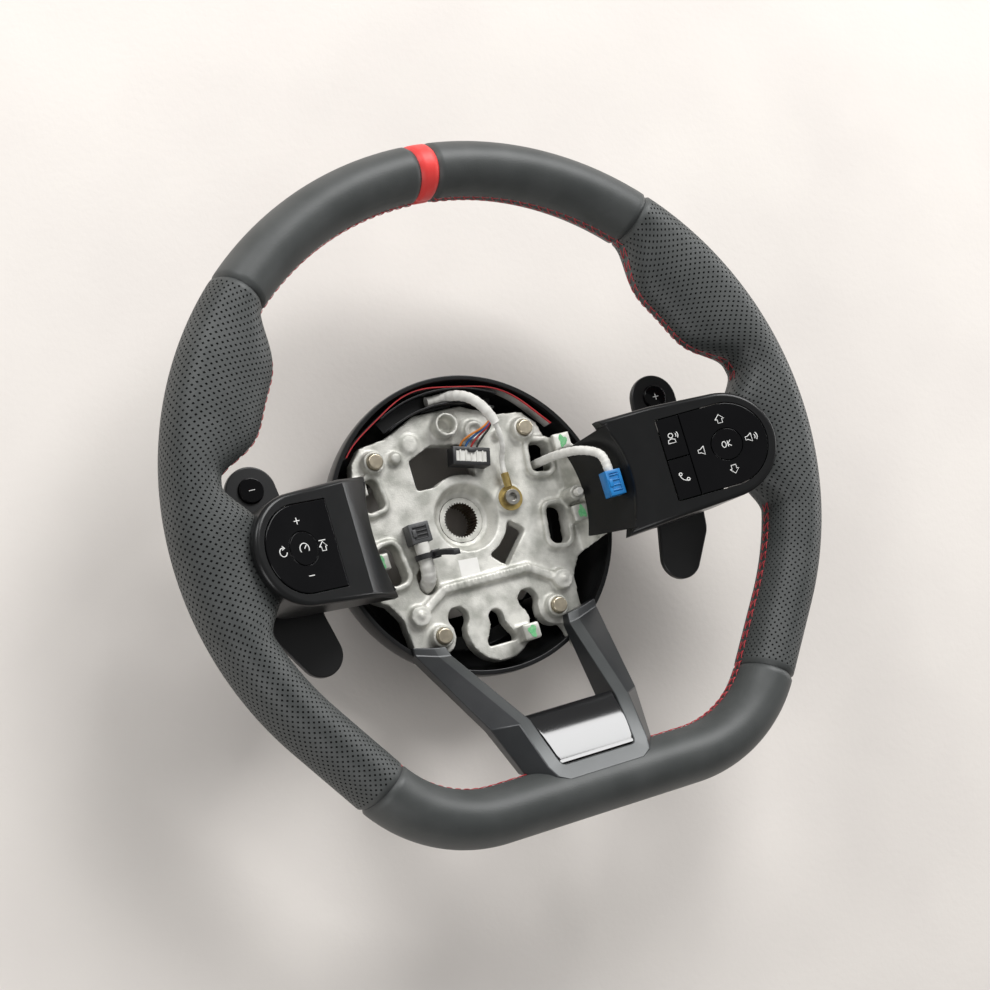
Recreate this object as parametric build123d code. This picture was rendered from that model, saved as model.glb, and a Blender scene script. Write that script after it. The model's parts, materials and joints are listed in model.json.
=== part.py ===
from build123d import *
import os
from math import cos, pi, radians, sin, tan

os.makedirs("parts", exist_ok=True)

# Car steering wheel without its airbag module, so the die-cast hub and its wiring are open to view.
# Millimetres. The origin is the centre of the splined bore at the face of the hub boss.
# +Z runs along the bore towards the driver, +Y to 12 o'clock, +X to the driver's right.

# Clearances
SEAT_GAP = 0.3
GLUE_GAP = 0.1
PIN_GAP = 0.08
KEY_GAP = 0.4
NOTCH_GAP = 1.0
STEM_GAP = 0.5

# Rim: a circle with straight lower sides, rounded corners and a flat bottom
RIM_CENTRE_Y = 7.0
RIM_PLANE_Z = 70.0
RIM_RADIUS = 170.0
RIM_HALF_WIDTH = 15.0
RIM_HALF_DEPTH = 20.0
FLAT_DROP = 163.5
SIDE_BREAK = 35.0
CORNER_RADIUS = 70.0
LEATHER = 1.4
MARKER_WIDTH = 11.0
TOP_SEAM = 47.0
THUMB_REST = 35.0
THUMB_ANGLE = 29.5
THUMB_SPAN = 17.0
SPOKE_FLARE = 34.0
FLARE_ANGLE = -3.5
FLARE_SPAN = 14.5
GRIP_SECTIONS = 22
CORE_WIDTH = 13.0
CORE_DEPTH = 12.0
CORE_GROOVE = 6.0

# Hub casting
PLATE = 9.0
PLATE_SETBACK = 17.0
BOSS_RADIUS = 23.0
BOSS_BACK = 14.0
BORE_RADIUS = 9.25
INSERT_RADIUS = 12.5
DISH_FLOOR_RADIUS = 15.0
DISH_MOUTH_RADIUS = 19.0
RIB_HEIGHT = 3.0
RIB_WIDTH = 5.0
RIDGE_Y = -35.5
RIDGE_HALF = 26.0
RIDGE_TEETH = 13
RIDGE_TOOTH = 1.4
STUD_RADIUS = 4.3
STUD_HEIGHT = 2.5
STUD_SINK = 4.0
STUD_BOSS_RADIUS = 6.5
STUD_BOSS_TOP = 15.0
UPPER_STUD = (46.0, 40.0)
LOWER_STUD = (35.3, -60.0)
PIP_BOSS = (43.8, -46.3)
PIP_RADIUS = 6.0
PIP_PIN = 2.2
HOOKS = [(63.5, 27.0), (-63.5, 27.0), (62.5, -14.0), (-62.5, -14.0), (13.0, -70.0)]
HOOK_HEIGHT = 14.0
HOOK_WIDTH = 8.0
HOOK_LENGTH = 9.0
HOOK_NOSE = 4.0
TONGUE_RADIUS = 19.0
TONGUE_Y = -62.0
HUB_SHOULDERS = [(34, 52), (50, 50), (57, 42), (60, 30), (60, -34), (50, -50)]
UPPER_WINDOW = [(-24, 20), (-24, 37), (-9, 43), (10, 39), (13, 20)]
SIDE_WINDOW = [(21, -5), (32, -14), (15.5, -31.5), (4, -21)]
WINDOW_CORNER = 1.5
KEY_HOLE_TOP = -57.0
KEY_HOLE_RADIUS = 4.5
KEY_HOLE_HALF = 9.0
ROUND_SLOT = (21.5, -52.0, 6.0)
UPPER_SLOT = (52.0, 23.0, 12.0, 17.0, 3.0)
LOWER_SLOT = (51.0, -16.0, 12.0, 22.0, 4.0)
SLOT_LEAN = 8.0
TALL_BOSS = (0.0, 51.0, 7.0, 5.0)
LOW_BOSS = (18.0, 45.0, 6.0, 3.5)
PLAIN_BOSSES = [(-21, 46, 5, 1.2, 8), (-32, 40, 3.5, 4, 5), (31, 40, 2.5, 4, 5)]
ARM_BACK_Z = 38.0
ARM_THICKNESS = 8.0
ARM_START_X = 50.0
ARM_ROOT_X = 62.0
ARM_KNEE_X = 75.5
ARM_BEND_BACK = 40.0
ARM_END_BACK = 4.0
ARM_HALVES = (37.0, 31.0, 20.0, 15.5)
ARM_END_HALF = 10.5
ARM_TIP_HALF = 8.0
LEG_BACK = [(-46, 0), (-70, 0), (-118, 50)]
LEG_FRONT = [(-112, 57.5), (-67, PLATE), (-46, PLATE)]
LEG_OUTER = [(53, -44), (51, -68), (41, -112), (34.5, -140)]
LEG_INNER = [(36, -44), (38, -68), (31.5, -112), (27.5, -140)]
LEG_TIP = 4.0
COVER_POSTS = [(44.0, 36.0), (35.3, -56.0)]

# Fittings on the casting: ground point, locating pin, connectors, leads and their guide
TERMINAL = (27.0, 4.0)
TERMINAL_Z = PLATE + 2.5
TERMINAL_RADIUS = 7.0
TERMINAL_SHEET = 1.2
BARREL_RADIUS = 2.2
BARREL_LENGTH = 7.0
GROUND_SCREW = 2.5
LOCATING_PIN = (61.5, -3.0)
LOCATING_PIN_RADIUS = 2.2
LOCATING_PIN_Z = 24.0
LEAD_HOLE = (-33.0, -31.0)
LEAD_HOLE_RADIUS = 5.2
LEAD_HOLE_LENGTH = 5.0
GUIDE_CLEAR = 4.0
GUIDE_WIDTH = 8.9
GUIDE_HEIGHT = 11.0
GUIDE_WALL = 1.0
GUIDE_Z = 4.0
GUIDE_SPAN = 28.0
GUIDE_FOOT = 18.0
LOOM_RADIUS = 3.0
SWITCH_LEAD_RADIUS = 2.6
TAPED_RADIUS = 4.2
TIE = 1.2
TIE_WIDTH = 3.0
BLUE_BLOCK = (68.6, -6.0)
BLUE_LENGTH = 14.0
BLUE_HEIGHT = 8.0
AIRBAG_BLOCK = (-33.0, -3.0)
AIRBAG_WIDTH = 11.0
RIBBON = 0.6
RIBBON_Z = 5.0
RIBBON_HEIGHT = 9.0
RIBBON_ENDS = (35.0, 140.0)
LOOM_BLOCK = (9.0, 31.0)
LOOM_BLOCK_LEAN = -15.0

# Rear cover: a moulded bowl that the wheel lies on
COVER_CENTRE_Y = -5.0
COVER_RADIUS = 83.0
COVER_EDGE_Z = 16.0
COVER_BACK_Z = -26.0
COVER_OPENING = 56.0
COVER_FOOT = 65.0
COVER_WALL = 2.6
COVER_SCREW_RADIUS = 2.0
COVER_SCREW_HEAD = 3.4
COVER_SCREW_DEPTH = 5.0

# Switch housings on the side spokes, with a face that leans in towards the hub
SPOKE_Y = -3.6
PAD_X = 124.5
PAD_Z = 86.0
FACE_TILT = 18.0
KNEE_X = 91.0
KNEE_TILT = 44.0
HOUSING_END_X = 152.0
HOUSING_END_RADIUS = 29.0
HOUSING_HUB_HALF = 34.5
HOUSING_CORNER = 6.0
HOUSING_BACK_Z = 47.0
HOUSING_WALL = 2.5
HOUSING_ROUND = 2.5
AIRBAG_RADIUS = 77.0
APRON_RADIUS = 66.5
APRON_Z = 24.0
APRON_TOP_Z = 58.0
APRON_WALL = 1.6
APRON_SPAN = 22.0
PAD_RADIUS = 22.5
PAD_INNER = 21.0
PAD_PROUD = 0.6
PAD_THICKNESS = 3.0
KEY_LENGTH = 12.4
KEY_TRAVEL = 0.8
BUTTON_RADIUS = 8.5
GIMBAL_DEPTH = 4.8
GIMBAL_PIN = 0.8
GIMBAL_RING = 11.2
GIMBAL_REACH = 14.2
LUG_SPREAD = 13.0
LUG_WIDTH = 4.0
LUG = 2.0
BOARD_DEPTH = 11.0
BOARD = 1.6
MAT = 1.0
DOME_SPREAD = 17.5
DOME_RADIUS = 2.8
BUTTON_DOME_RADIUS = 3.5
BUTTON_DOME = 0.9
BUTTON_STEM = 5.0
HOUSING_POST_X = 88.5
HOUSING_POST_SPREAD = 11.0
HOUSING_SCREW_RADIUS = 1.6

# Shift paddles behind the side spokes
PADDLE_BACK_Z = 25.0
PADDLE = 4.0
PADDLE_HINGE_X = 84.0
PADDLE_HINGE_Z = 25.5
PADDLE_KNUCKLE = 4.0
PADDLE_PIN = 1.6
PADDLE_ROOT_HALF = 16.0
PADDLE_LOBE = (122.7, 37.0, 14.0)
PADDLE_WAIST = (120.0, -3.6, 16.0)
PADDLE_SHOULDER = (117.0, -36.0, 15.0)
PADDLE_TIP = (110.0, -53.0, 12.0)
PADDLE_DISC = 7.2
CARRIER = 5.0
CARRIER_EAR = 4.0
CARRIER_LENGTH = 26.0

# Lower spoke
TRIM_TOP_Y = -66.0
TRIM_BEND_Y = -116.0
TRIM_END_Y = -150.0
TRIM_WALL = 2.5
TRIM_DEPTH = 16.0
TRIM_MOUTH_HALF = 37.0
TRIM_LEDGE = 2.0
INSERT_THICKNESS = 2.5
INSERT_TOP_HALF = 25.2
INSERT_END_HALF = 21.5
INSERT_END_Y = -141.0
TRIM_FRONT = [(TRIM_TOP_Y, 14.0), (TRIM_BEND_Y, 70.0), (INSERT_END_Y, 82.0), (TRIM_END_Y, 85.0)]
TRIM_OUTER = [(56.0, TRIM_TOP_Y), (38.0, -140.0), (30.0, TRIM_END_Y)]

# Places that follow from the sizes above
PLATE_TOP_Y = COVER_CENTRE_Y + COVER_RADIUS - PLATE_SETBACK
GUIDE_OUTSIDE = COVER_RADIUS - COVER_WALL - GUIDE_CLEAR
GUIDE_RADIUS = GUIDE_OUTSIDE - GUIDE_WIDTH
KEY_X = -PAD_INNER - KEY_GAP - KEY_LENGTH / 2
DOME_TOP = PAD_PROUD - PAD_THICKNESS - KEY_TRAVEL - STEM_GAP

parts = {}


def spot(x, y, radius):
    """A disc in plan."""
    return Pos(x, y) * Circle(radius)


def outline(*points):
    """A straight-sided outline in plan."""
    return Polygon(*points, align=None)


def prism(sketch, low, high, taper=0):
    """A plan outline raised from one height to another."""
    return extrude(Pos(0, 0, low) * sketch, amount=high - low, dir=(0, 0, 1), taper=taper)


def both_sides(points):
    """A right-hand outline and its mirror, as one closed outline."""
    return outline(*points, *[(-x, y) for x, y in reversed(points)])


def grown(sketch, grow):
    """An outline grown all round, with sharp corners."""
    return offset(sketch, grow, kind=Kind.INTERSECTION) if grow else sketch


def side_slab(points, half, grow=0):
    """An outline in X and Z, carried both ways along Y."""
    return extrude(Plane.XZ * grown(outline(*points), grow), amount=half, both=True)


def end_slab(points, half, grow=0):
    """An outline in Y and Z, carried both ways along X."""
    return extrude(Plane.YZ * grown(outline(*points), grow), amount=half, both=True)


def flip(shape):
    """The mirrored twin on the other side of the wheel."""
    return mirror(shape, about=Plane.YZ)


def hull_of(*discs):
    """The smooth outline stretched round a few discs."""
    return make_hull([edge for disc in discs for edge in spot(*disc).edges()])


# The rim's path, from the rim centre, on the right-hand side
RIM_AXIS = Axis((0, RIM_CENTRE_Y, 0), (0, 0, 1))
turn = radians(SIDE_BREAK)
break_x = RIM_RADIUS * cos(turn)
break_y = -RIM_RADIUS * sin(turn)
corner_tangent = CORNER_RADIUS * tan((pi / 2 - turn) / 2)
straight = (FLAT_DROP + break_y) / cos(turn) - corner_tangent
seam_x = break_x - straight * sin(turn)
seam_y = break_y - straight * cos(turn)
flat_half = seam_x - corner_tangent * (1 + sin(turn))
CORNER_AXIS = Axis((flat_half, RIM_CENTRE_Y - FLAT_DROP + CORNER_RADIUS, 0), (0, 0, 1))


def rim_plane(x, y, outward):
    """A plane across the rim's path, with its x pointing out of the wheel and its y to the driver."""
    out_x, out_y = cos(radians(outward)), sin(radians(outward))
    return Plane((x, RIM_CENTRE_Y + y, RIM_PLANE_Z), x_dir=(out_x, out_y, 0), z_dir=(out_y, -out_x, 0))


def polar_plane(angle):
    """The plane across the round part of the rim at an angle above the horizontal."""
    return rim_plane(RIM_RADIUS * cos(radians(angle)), RIM_RADIUS * sin(radians(angle)), angle)


def rim_section(inner, inset):
    """The rim's section: half an ellipse outside the path, and one of another width inside it."""
    depth = RIM_HALF_DEPTH - inset
    outside = EllipticalCenterArc((0, 0), RIM_HALF_WIDTH - inset, depth, start_angle=-90, arc_size=180)
    inside = EllipticalCenterArc((0, 0), inner - inset, depth, start_angle=90, arc_size=180)
    return make_face([outside, inside])


def arc_run(section, start, end):
    """A section carried round the top of the rim between two angles."""
    return revolve(polar_plane(start) * section, axis=RIM_AXIS, revolution_arc=end - start)


def bottom_run(section):
    """A section carried along the flat bottom and round both corners, seam to seam."""
    flat = extrude(rim_plane(flat_half, -FLAT_DROP, -90) * section, amount=2 * flat_half)
    corner = revolve(rim_plane(flat_half, -FLAT_DROP, -90) * section, axis=CORNER_AXIS,
                     revolution_arc=90 - SIDE_BREAK)
    return flat + corner + flip(corner)


def side_run(section):
    """A section carried along the straight right side, down to the bottom seam."""
    return extrude(rim_plane(break_x, break_y, -SIDE_BREAK) * section, amount=straight)


def swell(angle, centre, span):
    """A smooth hump from 0 to 1 about an angle of the rim."""
    share = min(abs(angle - centre) / span, 1)
    return (1 - share ** 4) ** 2


def grip_run(inset):
    """The right hand grip with its thumb rest and the flare that meets the spoke."""
    sections = []
    loft_end = FLARE_ANGLE - FLARE_SPAN - 1
    for step in range(GRIP_SECTIONS + 1):
        angle = TOP_SEAM - (TOP_SEAM - loft_end) * step / GRIP_SECTIONS
        thumb = (THUMB_REST - RIM_HALF_WIDTH) * swell(angle, THUMB_ANGLE, THUMB_SPAN)
        flare = (SPOKE_FLARE - RIM_HALF_WIDTH) * swell(angle, FLARE_ANGLE, FLARE_SPAN)
        sections.append(polar_plane(angle) * rim_section(RIM_HALF_WIDTH + thumb + flare, inset))
    plain = rim_section(RIM_HALF_WIDTH, inset)
    return loft(sections) + arc_run(plain, -SIDE_BREAK, loft_end) + side_run(plain)


def core_section():
    """The rim core of the casting: a bar with a groove in its back."""
    groove = Pos(0, -CORE_DEPTH / 2) * Rectangle(CORE_GROOVE, CORE_GROOVE)
    return Rectangle(CORE_WIDTH, CORE_DEPTH) - groove


def rim_core():
    """The casting's rim core round the whole path."""
    section = core_section()
    side = side_run(section)
    return arc_run(section, -SIDE_BREAK, 180 + SIDE_BREAK) + side + flip(side) + bottom_run(section)


# Faces of the switch housings
tilt = radians(FACE_TILT)
FACE = Plane((PAD_X, SPOKE_Y, PAD_Z), x_dir=(cos(tilt), 0, sin(tilt)), z_dir=(-sin(tilt), 0, cos(tilt)))


def face_height(x):
    """Height of the leaning switch face at a distance from the wheel's middle."""
    return PAD_Z + (x - PAD_X) * tan(tilt)


def on_face(sketch, low, high):
    """An outline on the switch face, raised between two heights from it."""
    return extrude(FACE * Pos(0, 0, low) * sketch, amount=high - low, dir=FACE.z_dir)


def housing_body(inset):
    """The switch housing's form, or its hollow when inset by the wall."""
    hub_x = AIRBAG_RADIUS - HOUSING_HUB_HALF
    end = HOUSING_END_RADIUS - inset
    half = HOUSING_HUB_HALF - inset
    centre_x = HOUSING_END_X - HOUSING_END_RADIUS
    corner = HOUSING_CORNER - inset
    plan = hull_of((centre_x, SPOKE_Y, end), (hub_x, SPOKE_Y + half - corner, corner),
                   (hub_x, SPOKE_Y - half + corner, corner))
    plan -= spot(0, SPOKE_Y, AIRBAG_RADIUS + inset)
    drop = inset / cos(tilt)
    knee = face_height(KNEE_X) - drop
    far = HOUSING_END_X + HOUSING_END_RADIUS
    low = HOUSING_BACK_Z - inset
    below = side_slab([(hub_x, low), (far, low), (far, face_height(far) - drop), (KNEE_X, knee),
                       (hub_x, knee - (KNEE_X - hub_x) * tan(radians(KNEE_TILT)))],
                      2 * HOUSING_HUB_HALF)
    return prism(plan, low, far) & below


def pad_outline(grow, inner):
    """The D shape of a rocker pad, grown all round."""
    half = PAD_RADIUS + grow
    end = CenterArc((0, 0), half, start_angle=-90, arc_size=180)
    return make_face([end, Polyline(end @ 1, (-inner - grow, half), (-inner - grow, -half), end @ 0)])


# Side spokes of the casting
def side_arm(grow=0):
    """The right spoke: it climbs from the hub plate to the back of the switch housing, then to the rim."""
    top = ARM_BACK_Z + ARM_THICKNESS
    rim_low = RIM_PLANE_Z - CORE_DEPTH / 2
    rim_high = RIM_PLANE_Z + CORE_DEPTH / 2
    root = ARM_ROOT_X + ARM_END_BACK
    knee = ARM_KNEE_X + ARM_END_BACK
    bend = HOUSING_END_X - ARM_BEND_BACK
    end = HOUSING_END_X - ARM_END_BACK
    back = [(ARM_START_X, 0), (root, 0), (knee, ARM_BACK_Z), (bend, ARM_BACK_Z), (end, rim_low - CORE_GROOVE)]
    front = [(end, rim_high - ARM_THICKNESS), (bend, top), (ARM_KNEE_X, top), (ARM_ROOT_X, PLATE),
             (ARM_START_X, PLATE)]
    side = side_slab([*back, (RIM_RADIUS, rim_low), (RIM_RADIUS, rim_high), *front],
                     HOUSING_HUB_HALF + BOSS_RADIUS, grow)
    half = list(zip((ARM_START_X, ARM_ROOT_X, knee, bend), ARM_HALVES))
    half += [(end, ARM_END_HALF), (RIM_RADIUS, ARM_TIP_HALF)]
    plan = outline(*[(x, SPOKE_Y + y) for x, y in half], *[(x, SPOKE_Y - y) for x, y in reversed(half)])
    return side & prism(grown(plan, grow), -1, rim_high + 1)


def lower_arm(grow=0):
    """The right leg of the lower spoke, inside the trim."""
    rim_y = RIM_CENTRE_Y - FLAT_DROP
    side = end_slab([*LEG_BACK, (rim_y, RIM_PLANE_Z - LEG_TIP), (rim_y, RIM_PLANE_Z + LEG_TIP), *LEG_FRONT],
                    2 * LEG_OUTER[0][0], grow)
    plan = outline(*LEG_OUTER, (LEG_OUTER[-1][0], rim_y), (LEG_INNER[-1][0], rim_y), *reversed(LEG_INNER))
    return side & prism(grown(plan, grow), -1, RIM_PLANE_Z + CORE_DEPTH)


def hub_plan():
    """Outline of the hub plate with its lower lugs, tongue, windows and slots."""
    plan = both_sides([(14, PLATE_TOP_Y), *HUB_SHOULDERS])
    lug = hull_of((*PIP_BOSS, 1.5 * PIP_RADIUS), (*LOWER_STUD, STUD_BOSS_RADIUS + 3), (LOWER_STUD[0], -44, 8))
    tongue = hull_of((8, -52, 7), (-8, -52, 7), (0, TONGUE_Y, TONGUE_RADIUS))
    plan = plan + lug + flip(lug) + tongue
    round_slot = spot(*ROUND_SLOT)
    plan -= round_slot + flip(round_slot)
    boss = spot(0, 0, BOSS_RADIUS + NOTCH_GAP)
    upper_window = outline(*UPPER_WINDOW) - boss
    side_window = outline(*SIDE_WINDOW) - boss
    key_hole = hull_of((0, KEY_HOLE_TOP, KEY_HOLE_RADIUS), (0, TONGUE_Y, KEY_HOLE_RADIUS))
    key_hole += both_sides([(4, KEY_HOLE_TOP - 3), (KEY_HOLE_HALF, TONGUE_Y - 7),
                            (KEY_HOLE_HALF, TONGUE_Y - TONGUE_RADIUS / 2)])
    return plan - upper_window - fillet(side_window.vertices(), WINDOW_CORNER) - key_hole


def slot_plans():
    """The two openings beside the right spoke's root."""
    return [Pos(x, y) * Rot(0, 0, -SLOT_LEAN) * RectangleRounded(width, length, corner)
            for x, y, width, length, corner in (UPPER_SLOT, LOWER_SLOT)]


def tube_boss(x, y, radius, bore, base, top):
    """A drafted round boss with a hole in its end."""
    return prism(spot(x, y, radius), base, top, taper=2) - prism(spot(x, y, bore), base + 2, top)


def hook(x, y):
    """A clip hook of the airbag's spring: a post with a nose towards the hub."""
    side = -1 if x > 0 else 1
    top = PLATE + HOOK_HEIGHT
    reach = x + side * HOOK_WIDTH / 2
    post = Pos(x, y, top / 2) * Box(HOOK_WIDTH, HOOK_LENGTH, top)
    nose = Pos(reach, y, top - HOOK_NOSE / 2) * Box(HOOK_NOSE, HOOK_LENGTH, HOOK_NOSE)
    return post + nose


def armature():
    """The die-casting: hub plate, bore boss, bosses, ribs, hooks, spokes and rim core."""
    body = prism(hub_plan(), 0, PLATE)
    arm, leg = side_arm(), lower_arm()
    body = body + arm + flip(arm) + leg + flip(leg) + rim_core()
    for plan in slot_plans():
        frame = prism(offset(plan, RIB_HEIGHT), 0, PLATE + RIB_HEIGHT)
        through = prism(plan, -1, PLATE + 4 * RIB_HEIGHT)
        body = body + frame + flip(frame) - through - flip(through)
    ridge_end = hull_of((*PIP_BOSS, RIB_WIDTH / 2), (RIDGE_HALF, RIDGE_Y, RIB_WIDTH / 2))
    ridge = ridge_end + Pos(0, RIDGE_Y) * Rectangle(2 * RIDGE_HALF, RIB_WIDTH) + flip(ridge_end)
    body += prism(ridge, PLATE - 1, PLATE + RIB_HEIGHT)
    for step in range(RIDGE_TEETH):
        tooth_x = RIDGE_HALF * (2 * step / (RIDGE_TEETH - 1) - 1)
        body += Pos(tooth_x, RIDGE_Y, PLATE + RIB_HEIGHT) * Box(RIDGE_TOOTH, RIB_WIDTH - RIDGE_TOOTH, 2)
    body += prism(spot(0, 0, BOSS_RADIUS), -BOSS_BACK, PLATE)
    body -= Pos(0, 0, PLATE / 2) * Cone(DISH_FLOOR_RADIUS, DISH_MOUTH_RADIUS, PLATE)
    body -= prism(spot(0, 0, INSERT_RADIUS), -BOSS_BACK, 0)
    for x, y in (UPPER_STUD, LOWER_STUD):
        for sign in (1, -1):
            body += prism(spot(sign * x, y, STUD_BOSS_RADIUS), PLATE, STUD_BOSS_TOP, taper=3)
            body -= prism(spot(sign * x, y, STUD_RADIUS), STUD_BOSS_TOP - STUD_SINK, STUD_BOSS_TOP)
    for sign in (1, -1):
        pip = Pos(sign * PIP_BOSS[0], PIP_BOSS[1])
        body += prism(pip * Circle(PIP_RADIUS), PLATE, PLATE + 1.5 * RIB_HEIGHT, taper=3)
        body += prism(pip * Circle(PIP_PIN), PLATE, PLATE + 2 * RIB_HEIGHT, taper=5)
    body += tube_boss(*TALL_BOSS, PLATE - 1, 2 * PLATE)
    body += tube_boss(*LOW_BOSS, PLATE - 1, PLATE + RIB_HEIGHT)
    for x, y, radius, height, draft in PLAIN_BOSSES:
        body += prism(spot(x, y, radius), PLATE, PLATE + height, taper=draft)
    body += prism(spot(*TERMINAL, TERMINAL_RADIUS + 0.5), PLATE, TERMINAL_Z, taper=4)
    body -= prism(spot(*TERMINAL, GROUND_SCREW + PIN_GAP), PLATE - COVER_SCREW_DEPTH - 1, TERMINAL_Z)
    for x, y in HOOKS:
        body += hook(x, y)
    body += prism(spot(*LOCATING_PIN, LOCATING_PIN_RADIUS + 2), PLATE, LOCATING_PIN_Z)
    body -= prism(spot(*LOCATING_PIN, LOCATING_PIN_RADIUS), LOCATING_PIN_Z - STUD_SINK, LOCATING_PIN_Z)
    hole_x, hole_y = LEAD_HOLE
    hole = hull_of((hole_x, hole_y, LEAD_HOLE_RADIUS), (hole_x, hole_y + LEAD_HOLE_LENGTH, LEAD_HOLE_RADIUS))
    body -= prism(hole, 0, PLATE)
    for x, y in cover_posts():
        body -= prism(spot(x, y, COVER_SCREW_RADIUS + PIN_GAP), 0, COVER_SCREW_DEPTH + 1)
    for post in housing_posts():
        body -= prism(post * Circle(HOUSING_SCREW_RADIUS + PIN_GAP), ARM_BACK_Z, ARM_BACK_Z + ARM_THICKNESS)
    return body


def cover_posts():
    """Places of the rear cover's four posts."""
    return [(sign * x, y) for x, y in COVER_POSTS for sign in (1, -1)]


def housing_posts():
    """Places of the four screws that hold the switch housings and paddle carriers."""
    return [Pos(side * HOUSING_POST_X, SPOKE_Y + spread * HOUSING_POST_SPREAD)
            for side in (1, -1) for spread in (1, -1)]


# Casting and its steel bush and studs
casting = armature()
parts["armature"] = casting
parts["spline_insert"] = prism(Circle(INSERT_RADIUS) - Circle(BORE_RADIUS), -BOSS_BACK, 0)
stud_spots = [spot(sign * x, y, STUD_RADIUS) for x, y in (UPPER_STUD, LOWER_STUD) for sign in (1, -1)]
parts["airbag_studs"] = [prism(stud, STUD_BOSS_TOP - STUD_SINK, STUD_BOSS_TOP + STUD_HEIGHT)
                         for stud in stud_spots]


# Switch housing form, used to cut its seat in the rim too
housing_solid = housing_body(0)
front_faces = [face for face in housing_solid.faces() if face.normal_at().Z > 0.5]
front_edges = [edge for face in front_faces for edge in face.edges().filter_by(Axis.Y, reverse=True)]
housing_solid = fillet(front_edges, HOUSING_ROUND)
seat_plan = spot(HOUSING_END_X - HOUSING_END_RADIUS, SPOKE_Y, HOUSING_END_RADIUS + SEAT_GAP)
seat_plan += Pos(PAD_X - HOUSING_END_RADIUS, SPOKE_Y) * Rectangle(
    2 * HOUSING_END_RADIUS, 2 * HOUSING_HUB_HALF + 2 * SEAT_GAP)
housing_seat = prism(seat_plan, HOUSING_BACK_Z - SEAT_GAP, PAD_Z + HOUSING_END_RADIUS)

# Foam round the rim core, and the leather over it
arm_hole = side_arm(SEAT_GAP)
leg_hole = lower_arm(SEAT_GAP)
foam_inset = LEATHER + GLUE_GAP
foam_section = rim_section(RIM_HALF_WIDTH, foam_inset)
foam_grip = grip_run(foam_inset) - housing_seat
foam = arc_run(foam_section, TOP_SEAM, 180 - TOP_SEAM) + bottom_run(foam_section)
parts["rim_foam"] = foam + foam_grip + flip(foam_grip) - casting
grip = grip_run(0) - grip_run(LEATHER) - housing_seat - arm_hole
parts["leather_grip_right"] = grip
parts["leather_grip_left"] = flip(grip)
skin = rim_section(RIM_HALF_WIDTH, 0) - rim_section(RIM_HALF_WIDTH, LEATHER)
marker_half = MARKER_WIDTH / RIM_RADIUS / 2 * 180 / pi
parts["leather_top_right"] = arc_run(skin, TOP_SEAM, 90 - marker_half)
parts["centre_marker"] = arc_run(skin, 90 - marker_half, 90 + marker_half)
parts["leather_top_left"] = arc_run(skin, 90 + marker_half, 180 - TOP_SEAM)
parts["leather_bottom"] = bottom_run(skin) - leg_hole - flip(leg_hole)


# Rear cover
def rear_cover():
    """A bowl open round the bore, with a flat foot, four screw posts and notches for the lower spoke."""
    bulge = COVER_RADIUS - COVER_WALL
    outer = ThreePointArc((COVER_FOOT, COVER_BACK_Z), (COVER_RADIUS - 4.5, COVER_BACK_Z + 17),
                          (COVER_RADIUS, COVER_EDGE_Z))
    inner = ThreePointArc((bulge, COVER_EDGE_Z), (bulge - 4.5, COVER_BACK_Z + 18),
                          (COVER_FOOT - 1, COVER_BACK_Z + COVER_WALL))
    section = make_face([outer, Line(outer @ 1, inner @ 0), inner,
                         Polyline(inner @ 1, (COVER_OPENING, COVER_BACK_Z + COVER_WALL),
                                  (COVER_OPENING, COVER_BACK_Z), outer @ 0)])
    bowl = Pos(0, COVER_CENTRE_Y) * revolve(Plane.XZ * section, axis=Axis.Z)
    for x, y in cover_posts():
        bowl += prism(spot(x, y, COVER_SCREW_HEAD + COVER_WALL), COVER_BACK_Z, 0)
        bowl -= prism(spot(x, y, COVER_SCREW_RADIUS + PIN_GAP), COVER_BACK_Z, 0)
        bowl -= prism(spot(x, y, COVER_SCREW_HEAD + PIN_GAP), COVER_BACK_Z, COVER_BACK_Z + COVER_SCREW_DEPTH)
    notch = lower_arm(NOTCH_GAP)
    return bowl - notch - flip(notch)


def cover_screw(x, y):
    """A pan-head screw from the back of the cover into the casting."""
    head = prism(spot(x, y, COVER_SCREW_HEAD), COVER_BACK_Z + 1, COVER_BACK_Z + COVER_SCREW_DEPTH)
    return head + prism(spot(x, y, COVER_SCREW_RADIUS), COVER_BACK_Z + COVER_SCREW_DEPTH, COVER_SCREW_DEPTH)


parts["rear_hub_cover"] = rear_cover()
parts["cover_screws"] = [cover_screw(x, y) for x, y in cover_posts()]


# Switch housings with their boards, mats, rockers, buttons and keys
def switch_housing(inner):
    """The shell of the right switch housing, with a window that reaches in to a given length."""
    shell = housing_solid - housing_body(HOUSING_WALL)
    shell -= on_face(pad_outline(KEY_GAP, inner), -2 * HOUSING_WALL, HOUSING_WALL)
    arm_top = RIM_PLANE_Z + CORE_DEPTH / 2
    arm_width = 2 * (ARM_END_HALF + NOTCH_GAP)
    shell -= Pos(HOUSING_END_X, SPOKE_Y, arm_top / 2) * Box(HOUSING_END_RADIUS, arm_width, arm_top)
    post = prism(spot(HOUSING_POST_X, SPOKE_Y + HOUSING_POST_SPREAD, 2 * HOUSING_SCREW_RADIUS),
                 ARM_BACK_Z + ARM_THICKNESS, PAD_Z) & housing_solid
    bore = prism(spot(HOUSING_POST_X, SPOKE_Y + HOUSING_POST_SPREAD, HOUSING_SCREW_RADIUS + PIN_GAP),
                 ARM_BACK_Z, face_height(KNEE_X) - 3 * HOUSING_WALL - 6)
    across = Plane.XZ.offset(-SPOKE_Y)
    return shell + post + mirror(post, about=across) + hub_apron() - bore - mirror(bore, about=across)


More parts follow.
